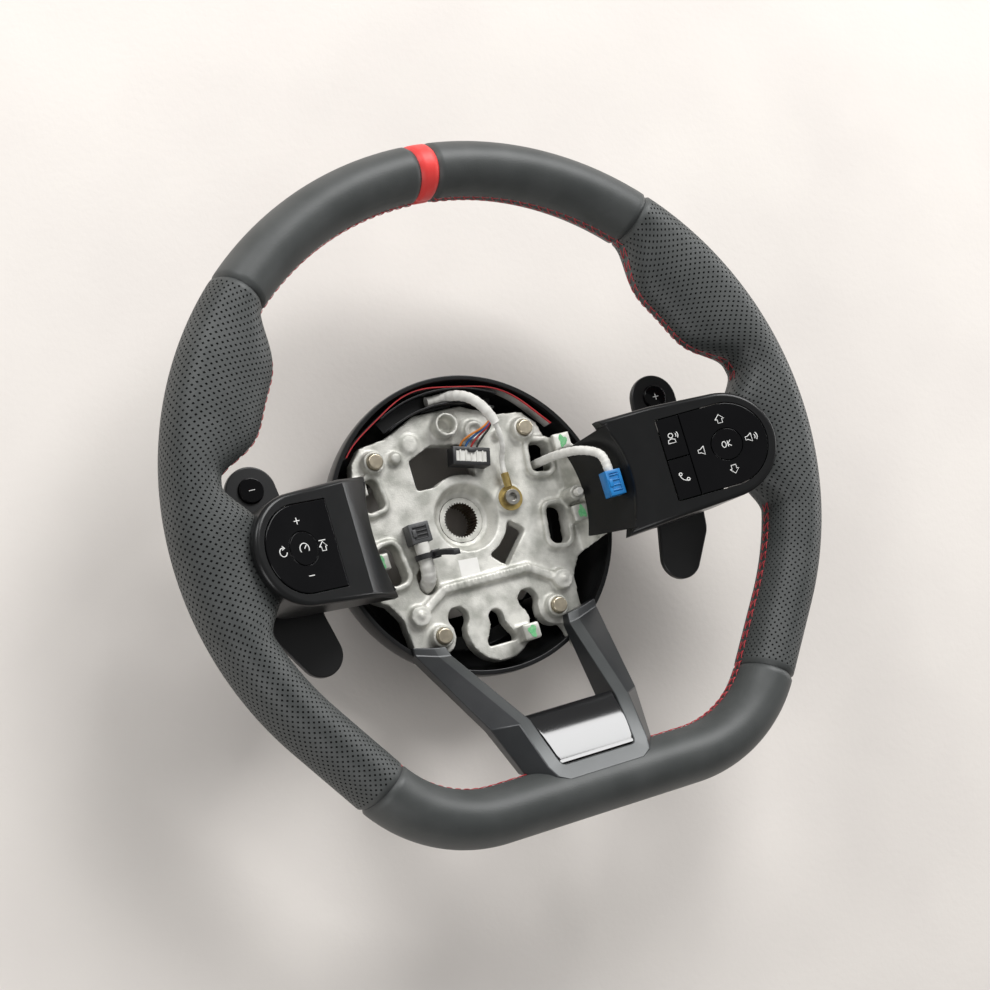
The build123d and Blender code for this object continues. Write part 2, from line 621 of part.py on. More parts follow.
def hub_apron():
    """The housing's apron towards the hub: a leaning band that hides the casting's spoke."""
    top = AIRBAG_RADIUS + (HOUSING_WALL + APRON_WALL) / 2
    section = outline((APRON_RADIUS - APRON_WALL, APRON_Z), (APRON_RADIUS, APRON_Z), (top, APRON_TOP_Z),
                      (top - APRON_WALL, APRON_TOP_Z))
    band = revolve(Plane.XZ * section, axis=Axis.Z, revolution_arc=2 * APRON_SPAN)
    return Pos(0, SPOKE_Y) * Rot(0, 0, -APRON_SPAN) * band


def switch_board():
    """A circuit board across the housing, with two lugs that carry the rocker's gimbal."""
    half = HOUSING_END_RADIUS - HOUSING_WALL - SEAT_GAP
    plan = Circle(PAD_RADIUS - 1) + Pos(-18, 0) * Rectangle(24, 2 * half)
    board = on_face(plan, -BOARD_DEPTH - BOARD, -BOARD_DEPTH)
    for side in (1, -1):
        lug = Pos(0, side * LUG_SPREAD) * Rectangle(LUG_WIDTH, LUG)
        lug = on_face(lug, -BOARD_DEPTH, -GIMBAL_DEPTH + 1.4)
        board += lug - gimbal_pin(0, side, 2 * GIMBAL_REACH, GIMBAL_PIN + PIN_GAP)
    return board


def gimbal_pin(along_x, along_y, length, radius):
    """A pin on the gimbal's level, from the rocker's middle outwards."""
    direction = FACE.x_dir * along_x + FACE.y_dir * along_y
    centre = FACE.origin - FACE.z_dir * GIMBAL_DEPTH
    return extrude(Plane(centre, z_dir=direction) * Circle(radius), amount=length)


def dome_mat(key_domes):
    """A silicone sheet on the board with a dome under each press point."""
    top = -BOARD_DEPTH + MAT
    half = PAD_RADIUS - 1.5 * MAT
    sheet = on_face(Circle(half) + Pos(-15, 0) * Rectangle(30, 2 * half), -BOARD_DEPTH, top)
    lug_hole = Rectangle(LUG_WIDTH + 2 * SEAT_GAP, LUG + 2 * SEAT_GAP)
    for side in (1, -1):
        sheet -= on_face(Pos(0, side * LUG_SPREAD) * lug_hole, -BOARD_DEPTH, top)
    corners = [(DOME_SPREAD, 0), (-DOME_SPREAD, 0), (0, DOME_SPREAD), (0, -DOME_SPREAD)]
    for x, y in corners + key_domes:
        sheet += extrude(FACE * Pos(x, y, top) * Circle(DOME_RADIUS), amount=DOME_TOP - top, taper=8)
    return sheet + extrude(FACE * Pos(0, 0, top) * Circle(BUTTON_DOME_RADIUS), amount=BUTTON_DOME, taper=8)


def rocker_frame():
    """The gimbal ring: it tilts on the board's lugs and carries the pad's lugs on its other two pins."""
    low, high = -GIMBAL_DEPTH - GIMBAL_PIN, -GIMBAL_DEPTH + GIMBAL_PIN
    ring = on_face(Circle(GIMBAL_RING), low, high)
    for along_x, along_y in ((1, 0), (-1, 0), (0, 1), (0, -1)):
        ring += gimbal_pin(along_x, along_y, GIMBAL_REACH, GIMBAL_PIN)
    return ring - on_face(Circle(BUTTON_RADIUS), low, high)


def rocker_pad():
    """The four-way pad with its button hole and the two lugs that hang on the gimbal."""
    pad = on_face(pad_outline(0, PAD_INNER), PAD_PROUD - PAD_THICKNESS, PAD_PROUD)
    pad = chamfer(pad.faces().sort_by(SortBy.AREA)[-1].edges(), 0.4)
    for side in (1, -1):
        lug = Pos(side * LUG_SPREAD, 0) * Rectangle(LUG, LUG_WIDTH)
        lug = on_face(lug, -GIMBAL_DEPTH - 2 * GIMBAL_PIN, PAD_PROUD - PAD_THICKNESS)
        pad += lug - gimbal_pin(side, 0, 2 * GIMBAL_REACH, GIMBAL_PIN + PIN_GAP)
    return pad - on_face(Circle(BUTTON_RADIUS + KEY_GAP), -PAD_THICKNESS, PAD_PROUD)


def centre_button():
    """The push button in the rocker's middle, on a stem that reaches the mat."""
    cap = on_face(Circle(BUTTON_RADIUS), PAD_PROUD - PAD_THICKNESS, PAD_PROUD + 0.2)
    stem_end = -BOARD_DEPTH + MAT + BUTTON_DOME + KEY_TRAVEL + STEM_GAP
    return cap + on_face(Circle(BUTTON_STEM), stem_end, -PAD_THICKNESS / 2)


def side_key(side):
    """One of the two push keys beside the right rocker."""
    half = PAD_RADIUS - KEY_GAP / 2
    plan = Pos(KEY_X, side * (half + KEY_GAP) / 2) * Rectangle(KEY_LENGTH, half - KEY_GAP / 2)
    return on_face(plan, PAD_PROUD - PAD_THICKNESS, PAD_PROUD)


key_window = PAD_INNER + KEY_GAP + KEY_LENGTH
key_domes = [(KEY_X, PAD_RADIUS / 2), (KEY_X, -PAD_RADIUS / 2)]
parts["right_switch_housing"] = switch_housing(key_window)
parts["left_switch_housing"] = flip(switch_housing(PAD_INNER))
parts["right_switch_board"] = switch_board()
parts["left_switch_board"] = flip(switch_board())
parts["right_dome_mat"] = dome_mat(key_domes)
parts["left_dome_mat"] = flip(dome_mat([]))
for side_name, place in (("right", lambda shape: shape), ("left", flip)):
    parts[side_name + "_rocker_frame"] = place(rocker_frame())
    parts[side_name + "_rocker_pad"] = place(rocker_pad())
    parts[side_name + "_centre_button"] = place(centre_button())
parts["voice_key"] = side_key(1)
parts["phone_key"] = side_key(-1)


# Shift paddles, each on a hinge pin in its carrier behind the spoke
HINGE = Plane((PADDLE_HINGE_X, SPOKE_Y, PADDLE_HINGE_Z), z_dir=(0, 1, 0))
ear_inside = PADDLE_ROOT_HALF + SEAT_GAP
ear_outside = ear_inside + CARRIER_EAR


def along_hinge(radius, half):
    """A round bar on the hinge's line, as far each way as half its length."""
    return extrude(HINGE * Circle(radius), amount=half, both=True)


def paddle():
    """The right paddle: a thumb lobe above the spoke, a blade below it and a knuckle on the pin."""
    plan = hull_of(PADDLE_LOBE, PADDLE_WAIST) + hull_of(PADDLE_WAIST, PADDLE_SHOULDER)
    plan += hull_of(PADDLE_SHOULDER, PADDLE_TIP)
    length = PADDLE_WAIST[0] - PADDLE_HINGE_X
    root = Pos(PADDLE_HINGE_X + length / 2, SPOKE_Y) * Rectangle(length, 2 * PADDLE_ROOT_HALF)
    blade = prism(plan + root, PADDLE_BACK_Z, PADDLE_BACK_Z + PADDLE)
    knuckle = along_hinge(PADDLE_KNUCKLE, PADDLE_ROOT_HALF)
    return blade + knuckle - along_hinge(PADDLE_PIN + PIN_GAP, 2 * PADDLE_ROOT_HALF)


def paddle_carrier():
    """The bracket screwed to the back of the spoke, with an ear at each end of the hinge pin."""
    plate_x = (PADDLE_HINGE_X + PADDLE_WAIST[0] - PADDLE_LOBE[2]) / 2
    plate = Pos(plate_x, SPOKE_Y, ARM_BACK_Z - CARRIER / 2) * Box(CARRIER_LENGTH, 2 * ear_outside, CARRIER)
    for side in (1, -1):
        ear_y = SPOKE_Y + side * (ear_inside + CARRIER_EAR / 2)
        reach = ARM_BACK_Z - CARRIER - PADDLE_HINGE_Z
        ear = Box(2 * PADDLE_KNUCKLE, CARRIER_EAR, reach + CARRIER)
        plate += Pos(PADDLE_HINGE_X, ear_y, PADDLE_HINGE_Z + reach / 2) * ear
    plate += along_hinge(PADDLE_KNUCKLE, ear_outside) - along_hinge(PADDLE_KNUCKLE, ear_inside)
    for spread in (1, -1):
        post = Pos(HOUSING_POST_X, SPOKE_Y + spread * HOUSING_POST_SPREAD)
        plate -= prism(post * Circle(HOUSING_SCREW_RADIUS + PIN_GAP), 0, ARM_BACK_Z)
    return plate - along_hinge(PADDLE_PIN, ear_outside)


def paddle_disc():
    """The round gloss cap on the paddle's thumb lobe."""
    x, y, _ = PADDLE_LOBE
    return prism(spot(x, y + 1, PADDLE_DISC), PADDLE_BACK_Z + PADDLE, PADDLE_BACK_Z + PADDLE + 2, taper=20)


def housing_screw(post):
    """A screw through the carrier and the spoke into the housing's post."""
    head_z = ARM_BACK_Z - CARRIER
    head = prism(post * Circle(2 * HOUSING_SCREW_RADIUS), head_z - 2, head_z)
    return head + prism(post * Circle(HOUSING_SCREW_RADIUS), head_z, ARM_BACK_Z + ARM_THICKNESS + 8)


for side_name, place in (("right", lambda shape: shape), ("left", flip)):
    parts[side_name + "_paddle"] = place(paddle())
    parts[side_name + "_paddle_disc"] = place(paddle_disc())
    parts[side_name + "_paddle_carrier"] = place(paddle_carrier())
hinge_pin = along_hinge(PADDLE_PIN, ear_outside)
parts["paddle_hinge_pins"] = [hinge_pin, flip(hinge_pin)]
parts["housing_screws"] = [housing_screw(post) for post in housing_posts()]


# Lower spoke: a frame in the form of a U that climbs from the hub to the rim, with a plate across its foot
def right_through(plan):
    """An outline carried through the whole depth of the lower spoke."""
    return prism(plan, -2 * RIM_PLANE_Z, 2 * RIM_PLANE_Z)


def trim_slab(drop, depth):
    """The lower spoke's front sheet seen from the side, lowered and given a depth."""
    front = [(y, z - drop) for y, z in TRIM_FRONT]
    back = [(y, z - depth) for y, z in reversed(front)]
    return end_slab(front + back, 2 * TRIM_OUTER[0][0])


def lower_trim():
    """The frame's shell, open at the back, with a ledge for the plate."""
    gap = SEAT_GAP
    mouth = (TRIM_MOUTH_HALF, TRIM_TOP_Y + 1)
    opening = both_sides([mouth, (INSERT_TOP_HALF + gap, TRIM_BEND_Y),
                          (INSERT_END_HALF + gap, INSERT_END_Y - gap)])
    ledge = both_sides([mouth, (INSERT_TOP_HALF - TRIM_LEDGE, TRIM_BEND_Y),
                        (INSERT_END_HALF - TRIM_LEDGE, INSERT_END_Y + TRIM_LEDGE)])
    plan = both_sides(TRIM_OUTER)
    solid = right_through(plan) & trim_slab(0, TRIM_DEPTH)
    solid -= right_through(opening) & trim_slab(-1, INSERT_THICKNESS + 1 + gap)
    solid -= right_through(ledge)
    hollow_plan = offset(plan, -TRIM_WALL) - offset(opening, TRIM_WALL)
    solid -= right_through(hollow_plan) & trim_slab(1.6 * TRIM_WALL, 3 * TRIM_DEPTH)
    bowl = Pos(0, COVER_CENTRE_Y) * prism(Circle(COVER_RADIUS + gap), 2 * COVER_BACK_Z, COVER_EDGE_Z + gap)
    return solid - bowl - bottom_run(rim_section(RIM_HALF_WIDTH, -gap)) - leg_hole - flip(leg_hole)


def lower_insert():
    """The gloss plate across the frame's foot."""
    plan = both_sides([(INSERT_TOP_HALF, TRIM_BEND_Y), (INSERT_END_HALF, INSERT_END_Y)])
    return right_through(plan) & trim_slab(0, INSERT_THICKNESS)


parts["lower_spoke_trim"] = lower_trim()
parts["lower_spoke_insert"] = lower_insert()


# Wiring and small fittings in the hub
def ring_run(inner, outer, low, high, start, end):
    """A band inside the rear cover, between two angles from the right-hand side."""
    section = Pos((inner + outer) / 2, (low + high) / 2) * Rectangle(outer - inner, high - low)
    band = revolve(Plane.XZ * section, axis=Axis.Z, revolution_arc=end - start)
    return Pos(0, COVER_CENTRE_Y) * Rot(0, 0, start) * band


def cable_guide():
    """An open channel along the top of the hub plate, with a foot on the plate's edge."""
    start, end = 90 - GUIDE_SPAN, 90 + GUIDE_SPAN
    top = GUIDE_Z + GUIDE_HEIGHT
    channel = ring_run(GUIDE_RADIUS, GUIDE_OUTSIDE, GUIDE_Z, top, start, end)
    channel -= ring_run(GUIDE_RADIUS + GUIDE_WALL, GUIDE_OUTSIDE - GUIDE_WALL, GUIDE_Z + GUIDE_WALL, top,
                        start, end)
    foot_low = PLATE_TOP_Y + SEAT_GAP
    foot_high = COVER_CENTRE_Y + GUIDE_RADIUS + GUIDE_WALL / 2
    foot = Pos(0, (foot_low + foot_high) / 2, (GUIDE_Z + PLATE) / 2) * Box(
        GUIDE_FOOT, foot_high - foot_low, PLATE - GUIDE_Z)
    return channel + foot


def block(x, y, low, length, width, height, turn=0):
    """A connector body with softened corners, standing at a height."""
    return prism(Pos(x, y) * Rot(0, 0, turn) * RectangleRounded(length, width, 1), low, low + height)


def lead(points, radius):
    """A round lead along straight runs joined by the largest arcs that fit."""
    spots = [Vector(*point) for point in points]
    bends = []
    for before, here, after in zip(spots, spots[1:], spots[2:]):
        half_turn = radians((here - before).get_angle(after - here)) / 2
        bends.append(0.45 * min((here - before).length, (after - here).length) / tan(half_turn))
    path = FilletPolyline(*spots, radius=bends)
    return sweep(Plane(path @ 0, z_dir=path % 0) * Circle(radius), path=path)


def ground_terminal():
    """A brass ring terminal with its crimp barrel."""
    x, y = TERMINAL
    sheet = spot(x, y, TERMINAL_RADIUS) - spot(x, y, GROUND_SCREW + PIN_GAP)
    ring = prism(sheet, TERMINAL_Z, TERMINAL_Z + TERMINAL_SHEET)
    root = Plane((x, y + TERMINAL_RADIUS - 1, TERMINAL_Z + BARREL_RADIUS), z_dir=(0, 1, 0))
    barrel = extrude(root * Circle(BARREL_RADIUS), amount=BARREL_LENGTH + 1)
    return ring + barrel


def ground_screw():
    """The screw through the terminal into the casting."""
    low = TERMINAL_Z + TERMINAL_SHEET
    head = prism(spot(*TERMINAL, 4.4), low, low + 3) - prism(spot(*TERMINAL, 2.2), low + 1, low + 3)
    return head + prism(spot(*TERMINAL, GROUND_SCREW), PLATE - COVER_SCREW_DEPTH, low)


barrel_z = TERMINAL_Z + BARREL_RADIUS
barrel_end = TERMINAL[1] + TERMINAL_RADIUS + BARREL_LENGTH + PIN_GAP
channel_y = COVER_CENTRE_Y + GUIDE_RADIUS + GUIDE_WIDTH / 2
channel_z = GUIDE_Z + GUIDE_WALL + LOOM_RADIUS + PIN_GAP
loom_route = [(-4, channel_y - 0.2, channel_z), (4, channel_y, channel_z), (11.5, channel_y - 1.4, 19.5),
              (19, 58, 25), (25, 46, 25), (28, 33, 21), (TERMINAL[0], barrel_end + 7, barrel_z),
              (TERMINAL[0], barrel_end, barrel_z)]
block_x, block_y = BLUE_BLOCK
block_end = block_y + BLUE_LENGTH / 2 + PIN_GAP
lead_z = HOUSING_BACK_Z + 2 + BLUE_HEIGHT / 2
switch_route = [(51.5, 20, -4), (52.5, 20, 12), (56, 19.5, 28), (61, 17.5, 42), (67, 12.5, lead_z - 1.5),
                (block_x, block_end + 5.5, lead_z), (block_x, block_end, lead_z)]
taped_x = AIRBAG_BLOCK[0]
taped_y = AIRBAG_BLOCK[1] - AIRBAG_WIDTH / 2 - PIN_GAP
taped_z = PLATE + TAPED_RADIUS + TIE + PIN_GAP
taped_route = [(taped_x, taped_y, taped_z), (taped_x, LEAD_HOLE[1] + 7, taped_z),
               (taped_x, LEAD_HOLE[1], PLATE), (taped_x, LEAD_HOLE[1] - 1, -4)]

parts["cable_guide"] = cable_guide()
ribbon_inside = GUIDE_OUTSIDE + SEAT_GAP
parts["ribbon_cable"] = ring_run(ribbon_inside, ribbon_inside + RIBBON, RIBBON_Z, RIBBON_Z + RIBBON_HEIGHT,
                                 *RIBBON_ENDS)
parts["main_loom"] = lead(loom_route, LOOM_RADIUS)
parts["loom_connector"] = block(*LOOM_BLOCK, PLATE, 22, 10, 9, LOOM_BLOCK_LEAN)
parts["airbag_connector"] = block(*AIRBAG_BLOCK, PLATE, 12, AIRBAG_WIDTH, 9)
parts["taped_lead"] = lead(taped_route, TAPED_RADIUS)
tie_plane = Plane((taped_x, taped_y - 6, taped_z), z_dir=(0, -1, 0))
tie_ring = Circle(TAPED_RADIUS + TIE) - Circle(TAPED_RADIUS + PIN_GAP)
parts["cable_tie"] = extrude(tie_plane * tie_ring, amount=TIE_WIDTH)
parts["blue_connector"] = block(*BLUE_BLOCK, HOUSING_BACK_Z + 2, 9.4, BLUE_LENGTH, BLUE_HEIGHT)
parts["switch_lead"] = lead(switch_route, SWITCH_LEAD_RADIUS)
parts["ground_terminal"] = ground_terminal()
parts["ground_screw"] = ground_screw()
parts["locating_pin"] = prism(spot(*LOCATING_PIN, LOCATING_PIN_RADIUS), LOCATING_PIN_Z - STUD_SINK,
                              LOCATING_PIN_Z + STUD_SINK)

for name, shape in parts.items():
    solids = shape if isinstance(shape, list) else [shape]
    solids = [solid for piece in solids for solid in piece.solids()]
    export_step(Compound(children=solids), f"parts/{name}.step")
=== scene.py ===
import json
from itertools import repeat
from math import atan2, cos, degrees, hypot, pi, radians, sin, tan
import bpy
from mathutils import Matrix, Vector


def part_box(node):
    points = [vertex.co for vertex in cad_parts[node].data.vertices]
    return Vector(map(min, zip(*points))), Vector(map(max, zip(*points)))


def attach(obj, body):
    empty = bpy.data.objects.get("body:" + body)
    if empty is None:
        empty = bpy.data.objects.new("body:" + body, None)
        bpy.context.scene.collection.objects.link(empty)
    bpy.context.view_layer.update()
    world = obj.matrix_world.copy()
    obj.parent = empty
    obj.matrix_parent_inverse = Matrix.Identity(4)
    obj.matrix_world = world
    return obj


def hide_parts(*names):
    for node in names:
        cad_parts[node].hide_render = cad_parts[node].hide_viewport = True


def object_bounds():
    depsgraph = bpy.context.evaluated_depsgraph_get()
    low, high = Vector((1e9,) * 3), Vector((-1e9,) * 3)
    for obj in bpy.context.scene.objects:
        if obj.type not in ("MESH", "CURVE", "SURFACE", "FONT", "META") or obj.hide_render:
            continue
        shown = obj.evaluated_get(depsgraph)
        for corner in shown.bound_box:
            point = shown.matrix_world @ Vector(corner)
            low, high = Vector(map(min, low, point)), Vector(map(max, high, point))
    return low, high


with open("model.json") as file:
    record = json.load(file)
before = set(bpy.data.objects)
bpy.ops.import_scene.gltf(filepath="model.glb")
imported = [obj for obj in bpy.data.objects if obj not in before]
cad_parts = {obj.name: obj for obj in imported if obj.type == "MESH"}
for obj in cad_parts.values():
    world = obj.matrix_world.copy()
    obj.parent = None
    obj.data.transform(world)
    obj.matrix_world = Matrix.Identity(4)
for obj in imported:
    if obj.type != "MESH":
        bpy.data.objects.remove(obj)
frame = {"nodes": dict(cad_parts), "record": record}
cad_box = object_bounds()


# Hub casting. The real one is a single pressure die-casting in light alloy: hub plate, spokes and rim core,
# left as it came from the mould, with rounded edges, a dull silvery skin and grey flow stains.
CAST_VOXEL = 0.0009
CAST_SMOOTHING = 4
CAST_SMOOTH_SHARE = 0.5
CAST_KEEP = 0.42
CAST_PALE = (0.72, 0.71, 0.66)
CAST_STAIN = (0.40, 0.40, 0.36)
MERGE_GAP = 0.00001
FLAT_WITHIN = radians(0.5)
SOFT_CREASE = radians(50)
TONE_EDGES = (0.36, 0.64)
GRAIN_STRENGTH = 0.6


def clear_selection():
    """Leaves edit mode and selects nothing."""
    if bpy.context.object and bpy.context.object.mode != "OBJECT":
        bpy.ops.object.mode_set(mode="OBJECT")
    bpy.ops.object.select_all(action="DESELECT")


def add_object(name, data):
    """Puts a new object in the scene."""
    piece = bpy.data.objects.new(name, data)
    bpy.context.scene.collection.objects.link(piece)
    return piece


def take_up(piece):
    """Makes one piece the only one that the next operators act on."""
    clear_selection()
    piece.select_set(True)
    bpy.context.view_layer.objects.active = piece


def edit_all(piece):
    """Opens a piece for editing with all of it selected."""
    take_up(piece)
    bpy.ops.object.mode_set(mode="EDIT")
    bpy.ops.mesh.select_all(action="SELECT")


def node_copy(node, name):
    """A copy of a solid's mesh with its doubles merged and its flat faces whole again."""
    clear_selection()
    mesh = frame["nodes"][node].data.copy()
    piece = add_object(name, mesh)
    mesh.materials.clear()
    take_up(piece)
    bpy.ops.mesh.customdata_custom_splitnormals_clear()
    edit_all(piece)
    bpy.ops.mesh.remove_doubles(threshold=MERGE_GAP)
    bpy.ops.mesh.dissolve_limited(angle_limit=FLAT_WITHIN)
    bpy.ops.object.mode_set(mode="OBJECT")
    return piece


def apply_modifier(piece, kind, **settings):
    """Adds a modifier with its settings and applies it."""
    take_up(piece)
    bpy.ops.object.modifier_add(type=kind)
    modifier = piece.modifiers[-1]
    for setting, value in settings.items():
        setattr(modifier, setting, value)
    bpy.ops.object.modifier_apply(modifier=modifier.name)


def soften(crease):
    """Shades the piece in hand smooth, but for edges that are sharper than a crease."""
    bpy.ops.object.shade_smooth_by_angle(angle=crease)


def settle(piece, body, slot, *nodes):
    """Rides a piece on its body and hides the solids that it stands for; its slot is not used."""
    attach(piece, body)
    if nodes:
        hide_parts(*nodes)


def texture_nodes(material):
    """The parts of a node tree that every finish uses: nodes, links, shader and object coordinates."""
    nodes, links = material.node_tree.nodes, material.node_tree.links
    place = nodes.new("ShaderNodeTexCoord").outputs["Object"]
    return nodes, links, nodes["Principled BSDF"], place


def mottled(name, colour, second, patch, rough, grain, depth, metal=0.0, gloss=0.5):
    """A finish whose colour drifts between two tones over patches, with a fine grain in the surface."""
    material = bpy.data.materials.new(name)
    material.use_nodes = True
    nodes, links, shader, place = texture_nodes(material)
    shader.inputs["Metallic"].default_value = metal
    shader.inputs["Roughness"].default_value = rough
    shader.inputs["Specular IOR Level"].default_value = gloss
    drift = nodes.new("ShaderNodeTexNoise")
    drift.inputs["Scale"].default_value = 1 / patch
    drift.inputs["Detail"].default_value = 4
    links.new(place, drift.inputs["Vector"])
    tones = nodes.new("ShaderNodeValToRGB")
    for step, edge, tone in zip(tones.color_ramp.elements, TONE_EDGES, (second, colour)):
        step.position = edge
        step.color = (*tone, 1)
    links.new(drift.outputs["Fac"], tones.inputs["Fac"])
    links.new(tones.outputs["Color"], shader.inputs["Base Color"])
    fine = nodes.new("ShaderNodeTexNoise")
    fine.inputs["Scale"].default_value = 1 / grain
    fine.inputs["Detail"].default_value = 3
    links.new(place, fine.inputs["Vector"])
    bump = nodes.new("ShaderNodeBump")
    bump.inputs["Distance"].default_value = depth
    bump.inputs["Strength"].default_value = GRAIN_STRENGTH
    links.new(fine.outputs["Fac"], bump.inputs["Height"])
    links.new(bump.outputs["Normal"], shader.inputs["Normal"])
    return material


cast_skin = mottled("cast_alloy", CAST_PALE, CAST_STAIN,
                    patch=0.011, rough=0.45, grain=0.0008, depth=0.00022, metal=0.30)
casting = node_copy("armature", "hub_casting")
apply_modifier(casting, "REMESH", mode="VOXEL", voxel_size=CAST_VOXEL, use_smooth_shade=True)
apply_modifier(casting, "SMOOTH", factor=CAST_SMOOTH_SHARE, iterations=CAST_SMOOTHING)
apply_modifier(casting, "DECIMATE", ratio=CAST_KEEP)
soften(SOFT_CREASE)
casting.data.materials.append(cast_skin)
settle(casting, "wheel", "casting", "armature")


# Splined bush. A sintered steel ring pressed into the casting's bore, with fine serrations that grip the
# steering shaft, and a thin brown film of oil and rust.
BUSH_LOW, BUSH_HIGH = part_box("spline_insert")
BUSH_OUTER = BUSH_HIGH.x
BUSH_BORE = frame["record"]["mounts"][0]["dims"]["r_mm"] / 1000
BUSH_TOOTH = 0.0007
BUSH_TEETH = 36
BUSH_STEEL = (0.20, 0.17, 0.13)
BUSH_RUST = (0.11, 0.075, 0.045)
FACING = 0.9
FINE_CREASE = radians(30)


def turn_outwards():
    """Turns the faces of the piece that is open outwards, and leaves edit mode."""
    bpy.ops.mesh.select_all(action="SELECT")
    bpy.ops.mesh.normals_make_consistent(inside=False)
    bpy.ops.object.mode_set(mode="OBJECT")


def fix_place():
    """Moves the place, turn and size of what is selected into its mesh."""
    bpy.ops.object.transform_apply(location=True, rotation=True, scale=True)


# Each tooth has four points on the bore: two at its tip, and two set back for the groove beside it.
clear_selection()
bpy.ops.mesh.primitive_circle_add(vertices=4 * BUSH_TEETH, radius=BUSH_BORE, location=(0, 0, BUSH_HIGH.z))
bush = bpy.context.object
bush.name = "splined_bush"
for index, vertex in enumerate(bush.data.vertices):
    if index % 4 in (2, 3):
        vertex.co *= (BUSH_BORE + BUSH_TOOTH) / BUSH_BORE
bpy.ops.object.mode_set(mode="EDIT")
bpy.ops.mesh.primitive_circle_add(vertices=4 * BUSH_TEETH, radius=BUSH_OUTER, location=(0, 0, BUSH_HIGH.z))
bpy.ops.mesh.select_all(action="SELECT")
bpy.ops.mesh.bridge_edge_loops()
bpy.ops.mesh.select_all(action="SELECT")
bpy.ops.mesh.extrude_region_move(TRANSFORM_OT_translate={"value": (0, 0, BUSH_LOW.z - BUSH_HIGH.z)})
turn_outwards()
fix_place()
soften(FINE_CREASE)
bush.data.materials.append(mottled("bush_steel", BUSH_STEEL, BUSH_RUST,
                                   patch=0.006, rough=0.45, grain=0.0005, depth=0.00003, metal=0.8))
bush.data.materials.append(cast_skin)
for face in bush.data.polygons:
    face.material_index = 1 if face.normal.z > FACING else 0
settle(bush, "wheel", "bush_steel", "spline_insert")


# Airbag studs. Four plated steel studs pressed into bosses of the casting, which the airbag module snaps on,
# each turned with a rounded end.
CREASE = radians(36)
EDGE_FROM = radians(32)


def rounded(node, name, finish, edge, segments=3, clamp=False):
    """A solid's copy with its sharp edges rounded, its flat faces kept flat to the eye and a finish on it."""
    piece = node_copy(node, name)
    apply_modifier(piece, "BEVEL", width=edge, segments=segments, limit_method="ANGLE",
                   angle_limit=EDGE_FROM, use_clamp_overlap=clamp, miter_outer="MITER_ARC")
    soften(CREASE)
    apply_modifier(piece, "WEIGHTED_NORMAL", keep_sharp=True)
    piece.data.materials.append(finish)
    return piece


def dress(node, name, body, slot, finish, **rounding):
    """Shows a solid by its rounded copy."""
    settle(rounded(node, name, finish, **rounding), body, slot, node)


stud_plating = mottled("stud_plating", (0.62, 0.55, 0.42), (0.48, 0.42, 0.32),
                       patch=0.004, rough=0.28, grain=0.0006, depth=0.00002, metal=0.9)
dress("airbag_studs", "plated_studs", "wheel", "stud_metal", stud_plating, edge=0.0008)


# Paint marks and paper label. An inspector dabs green paint on each clip hook, and a plain paper label is
# stuck on the casting below the bore.
PAINT_GREEN = (0.10, 0.42, 0.17)
PAINT_PALE = (0.22, 0.50, 0.25)
PAINT_SPOTS = [(0.0625, 0.027), (-0.0625, 0.027), (0.0615, -0.014), (-0.0615, -0.014), (0.012, -0.070)]
HOOK_TOP = 0.023
DAB_POINTS = 18
DAB_RADIUS = 0.0023
DAB_STRETCH = 1.45
DAB_LOBES = 0.22
DAB_RAGGED = 0.12
DAB_FILM = 0.00025
LABEL_CENTRE = (-0.0072, -0.0274, 0.0090)
LABEL_SIZE = (0.0115, 0.0100)
LABEL_PAPER = 0.00012
LABEL_TURN = radians(-4)

green_paint = mottled("green_paint", PAINT_GREEN, PAINT_PALE,
                      patch=0.0015, rough=0.5, grain=0.0005, depth=0.00005)
dabs = []
for number, (dab_x, dab_y) in enumerate(PAINT_SPOTS):
    clear_selection()
    bpy.ops.mesh.primitive_circle_add(vertices=DAB_POINTS, radius=DAB_RADIUS, fill_type="NGON",
                                      location=(dab_x, dab_y, HOOK_TOP - DAB_FILM / 2))
    dab = bpy.context.object
    for index, vertex in enumerate(dab.data.vertices):
        turn = 2 * pi * index / DAB_POINTS
        vertex.co *= 1 + DAB_LOBES * sin(3 * turn + number) + DAB_RAGGED * cos(5 * turn)
        vertex.co.y *= DAB_STRETCH
    edit_all(dab)
    bpy.ops.mesh.extrude_region_move(TRANSFORM_OT_translate={"value": (0, 0, DAB_FILM)})
    turn_outwards()
    dabs.append(dab)
for dab in dabs:
    dab.select_set(True)
bpy.ops.object.join()
paint = bpy.context.object
paint.name = "paint_dabs"
fix_place()
paint.data.materials.append(green_paint)
settle(paint, "wheel", "casting")


def block(name, centre, size, turn=0.0):
    """A block of a size at a place, turned about the upright."""
    clear_selection()
    bpy.ops.mesh.primitive_cube_add(size=1, location=centre, rotation=(0, 0, turn))
    piece = bpy.context.object
    piece.name = name
    piece.scale = size
    fix_place()
    return piece


label_paper = mottled("label_paper", (0.80, 0.79, 0.76), (0.74, 0.73, 0.70),
                      patch=0.01, rough=0.6, grain=0.0006, depth=0.00002)
label = block("bare_label", LABEL_CENTRE, (*LABEL_SIZE, 2 * LABEL_PAPER), LABEL_TURN)
apply_modifier(label, "BEVEL", width=LABEL_PAPER / 3, segments=1)
label.data.materials.append(label_paper)
settle(label, "wheel", "white_tape")


# Rim foam. Dark polyurethane, moulded round the casting's rim core in one shot.
# The leather hides nearly all of it.
def refinish(node, finish):
    """Puts a finish on a solid that stays as it is."""
    frame["nodes"][node].data.materials.clear()
    frame["nodes"][node].data.materials.append(finish)


foam_skin = mottled("rim_foam_skin", (0.030, 0.030, 0.032), (0.022, 0.022, 0.024),
                    patch=0.01, rough=0.8, grain=0.001, depth=0.0001)
refinish("rim_foam", foam_skin)


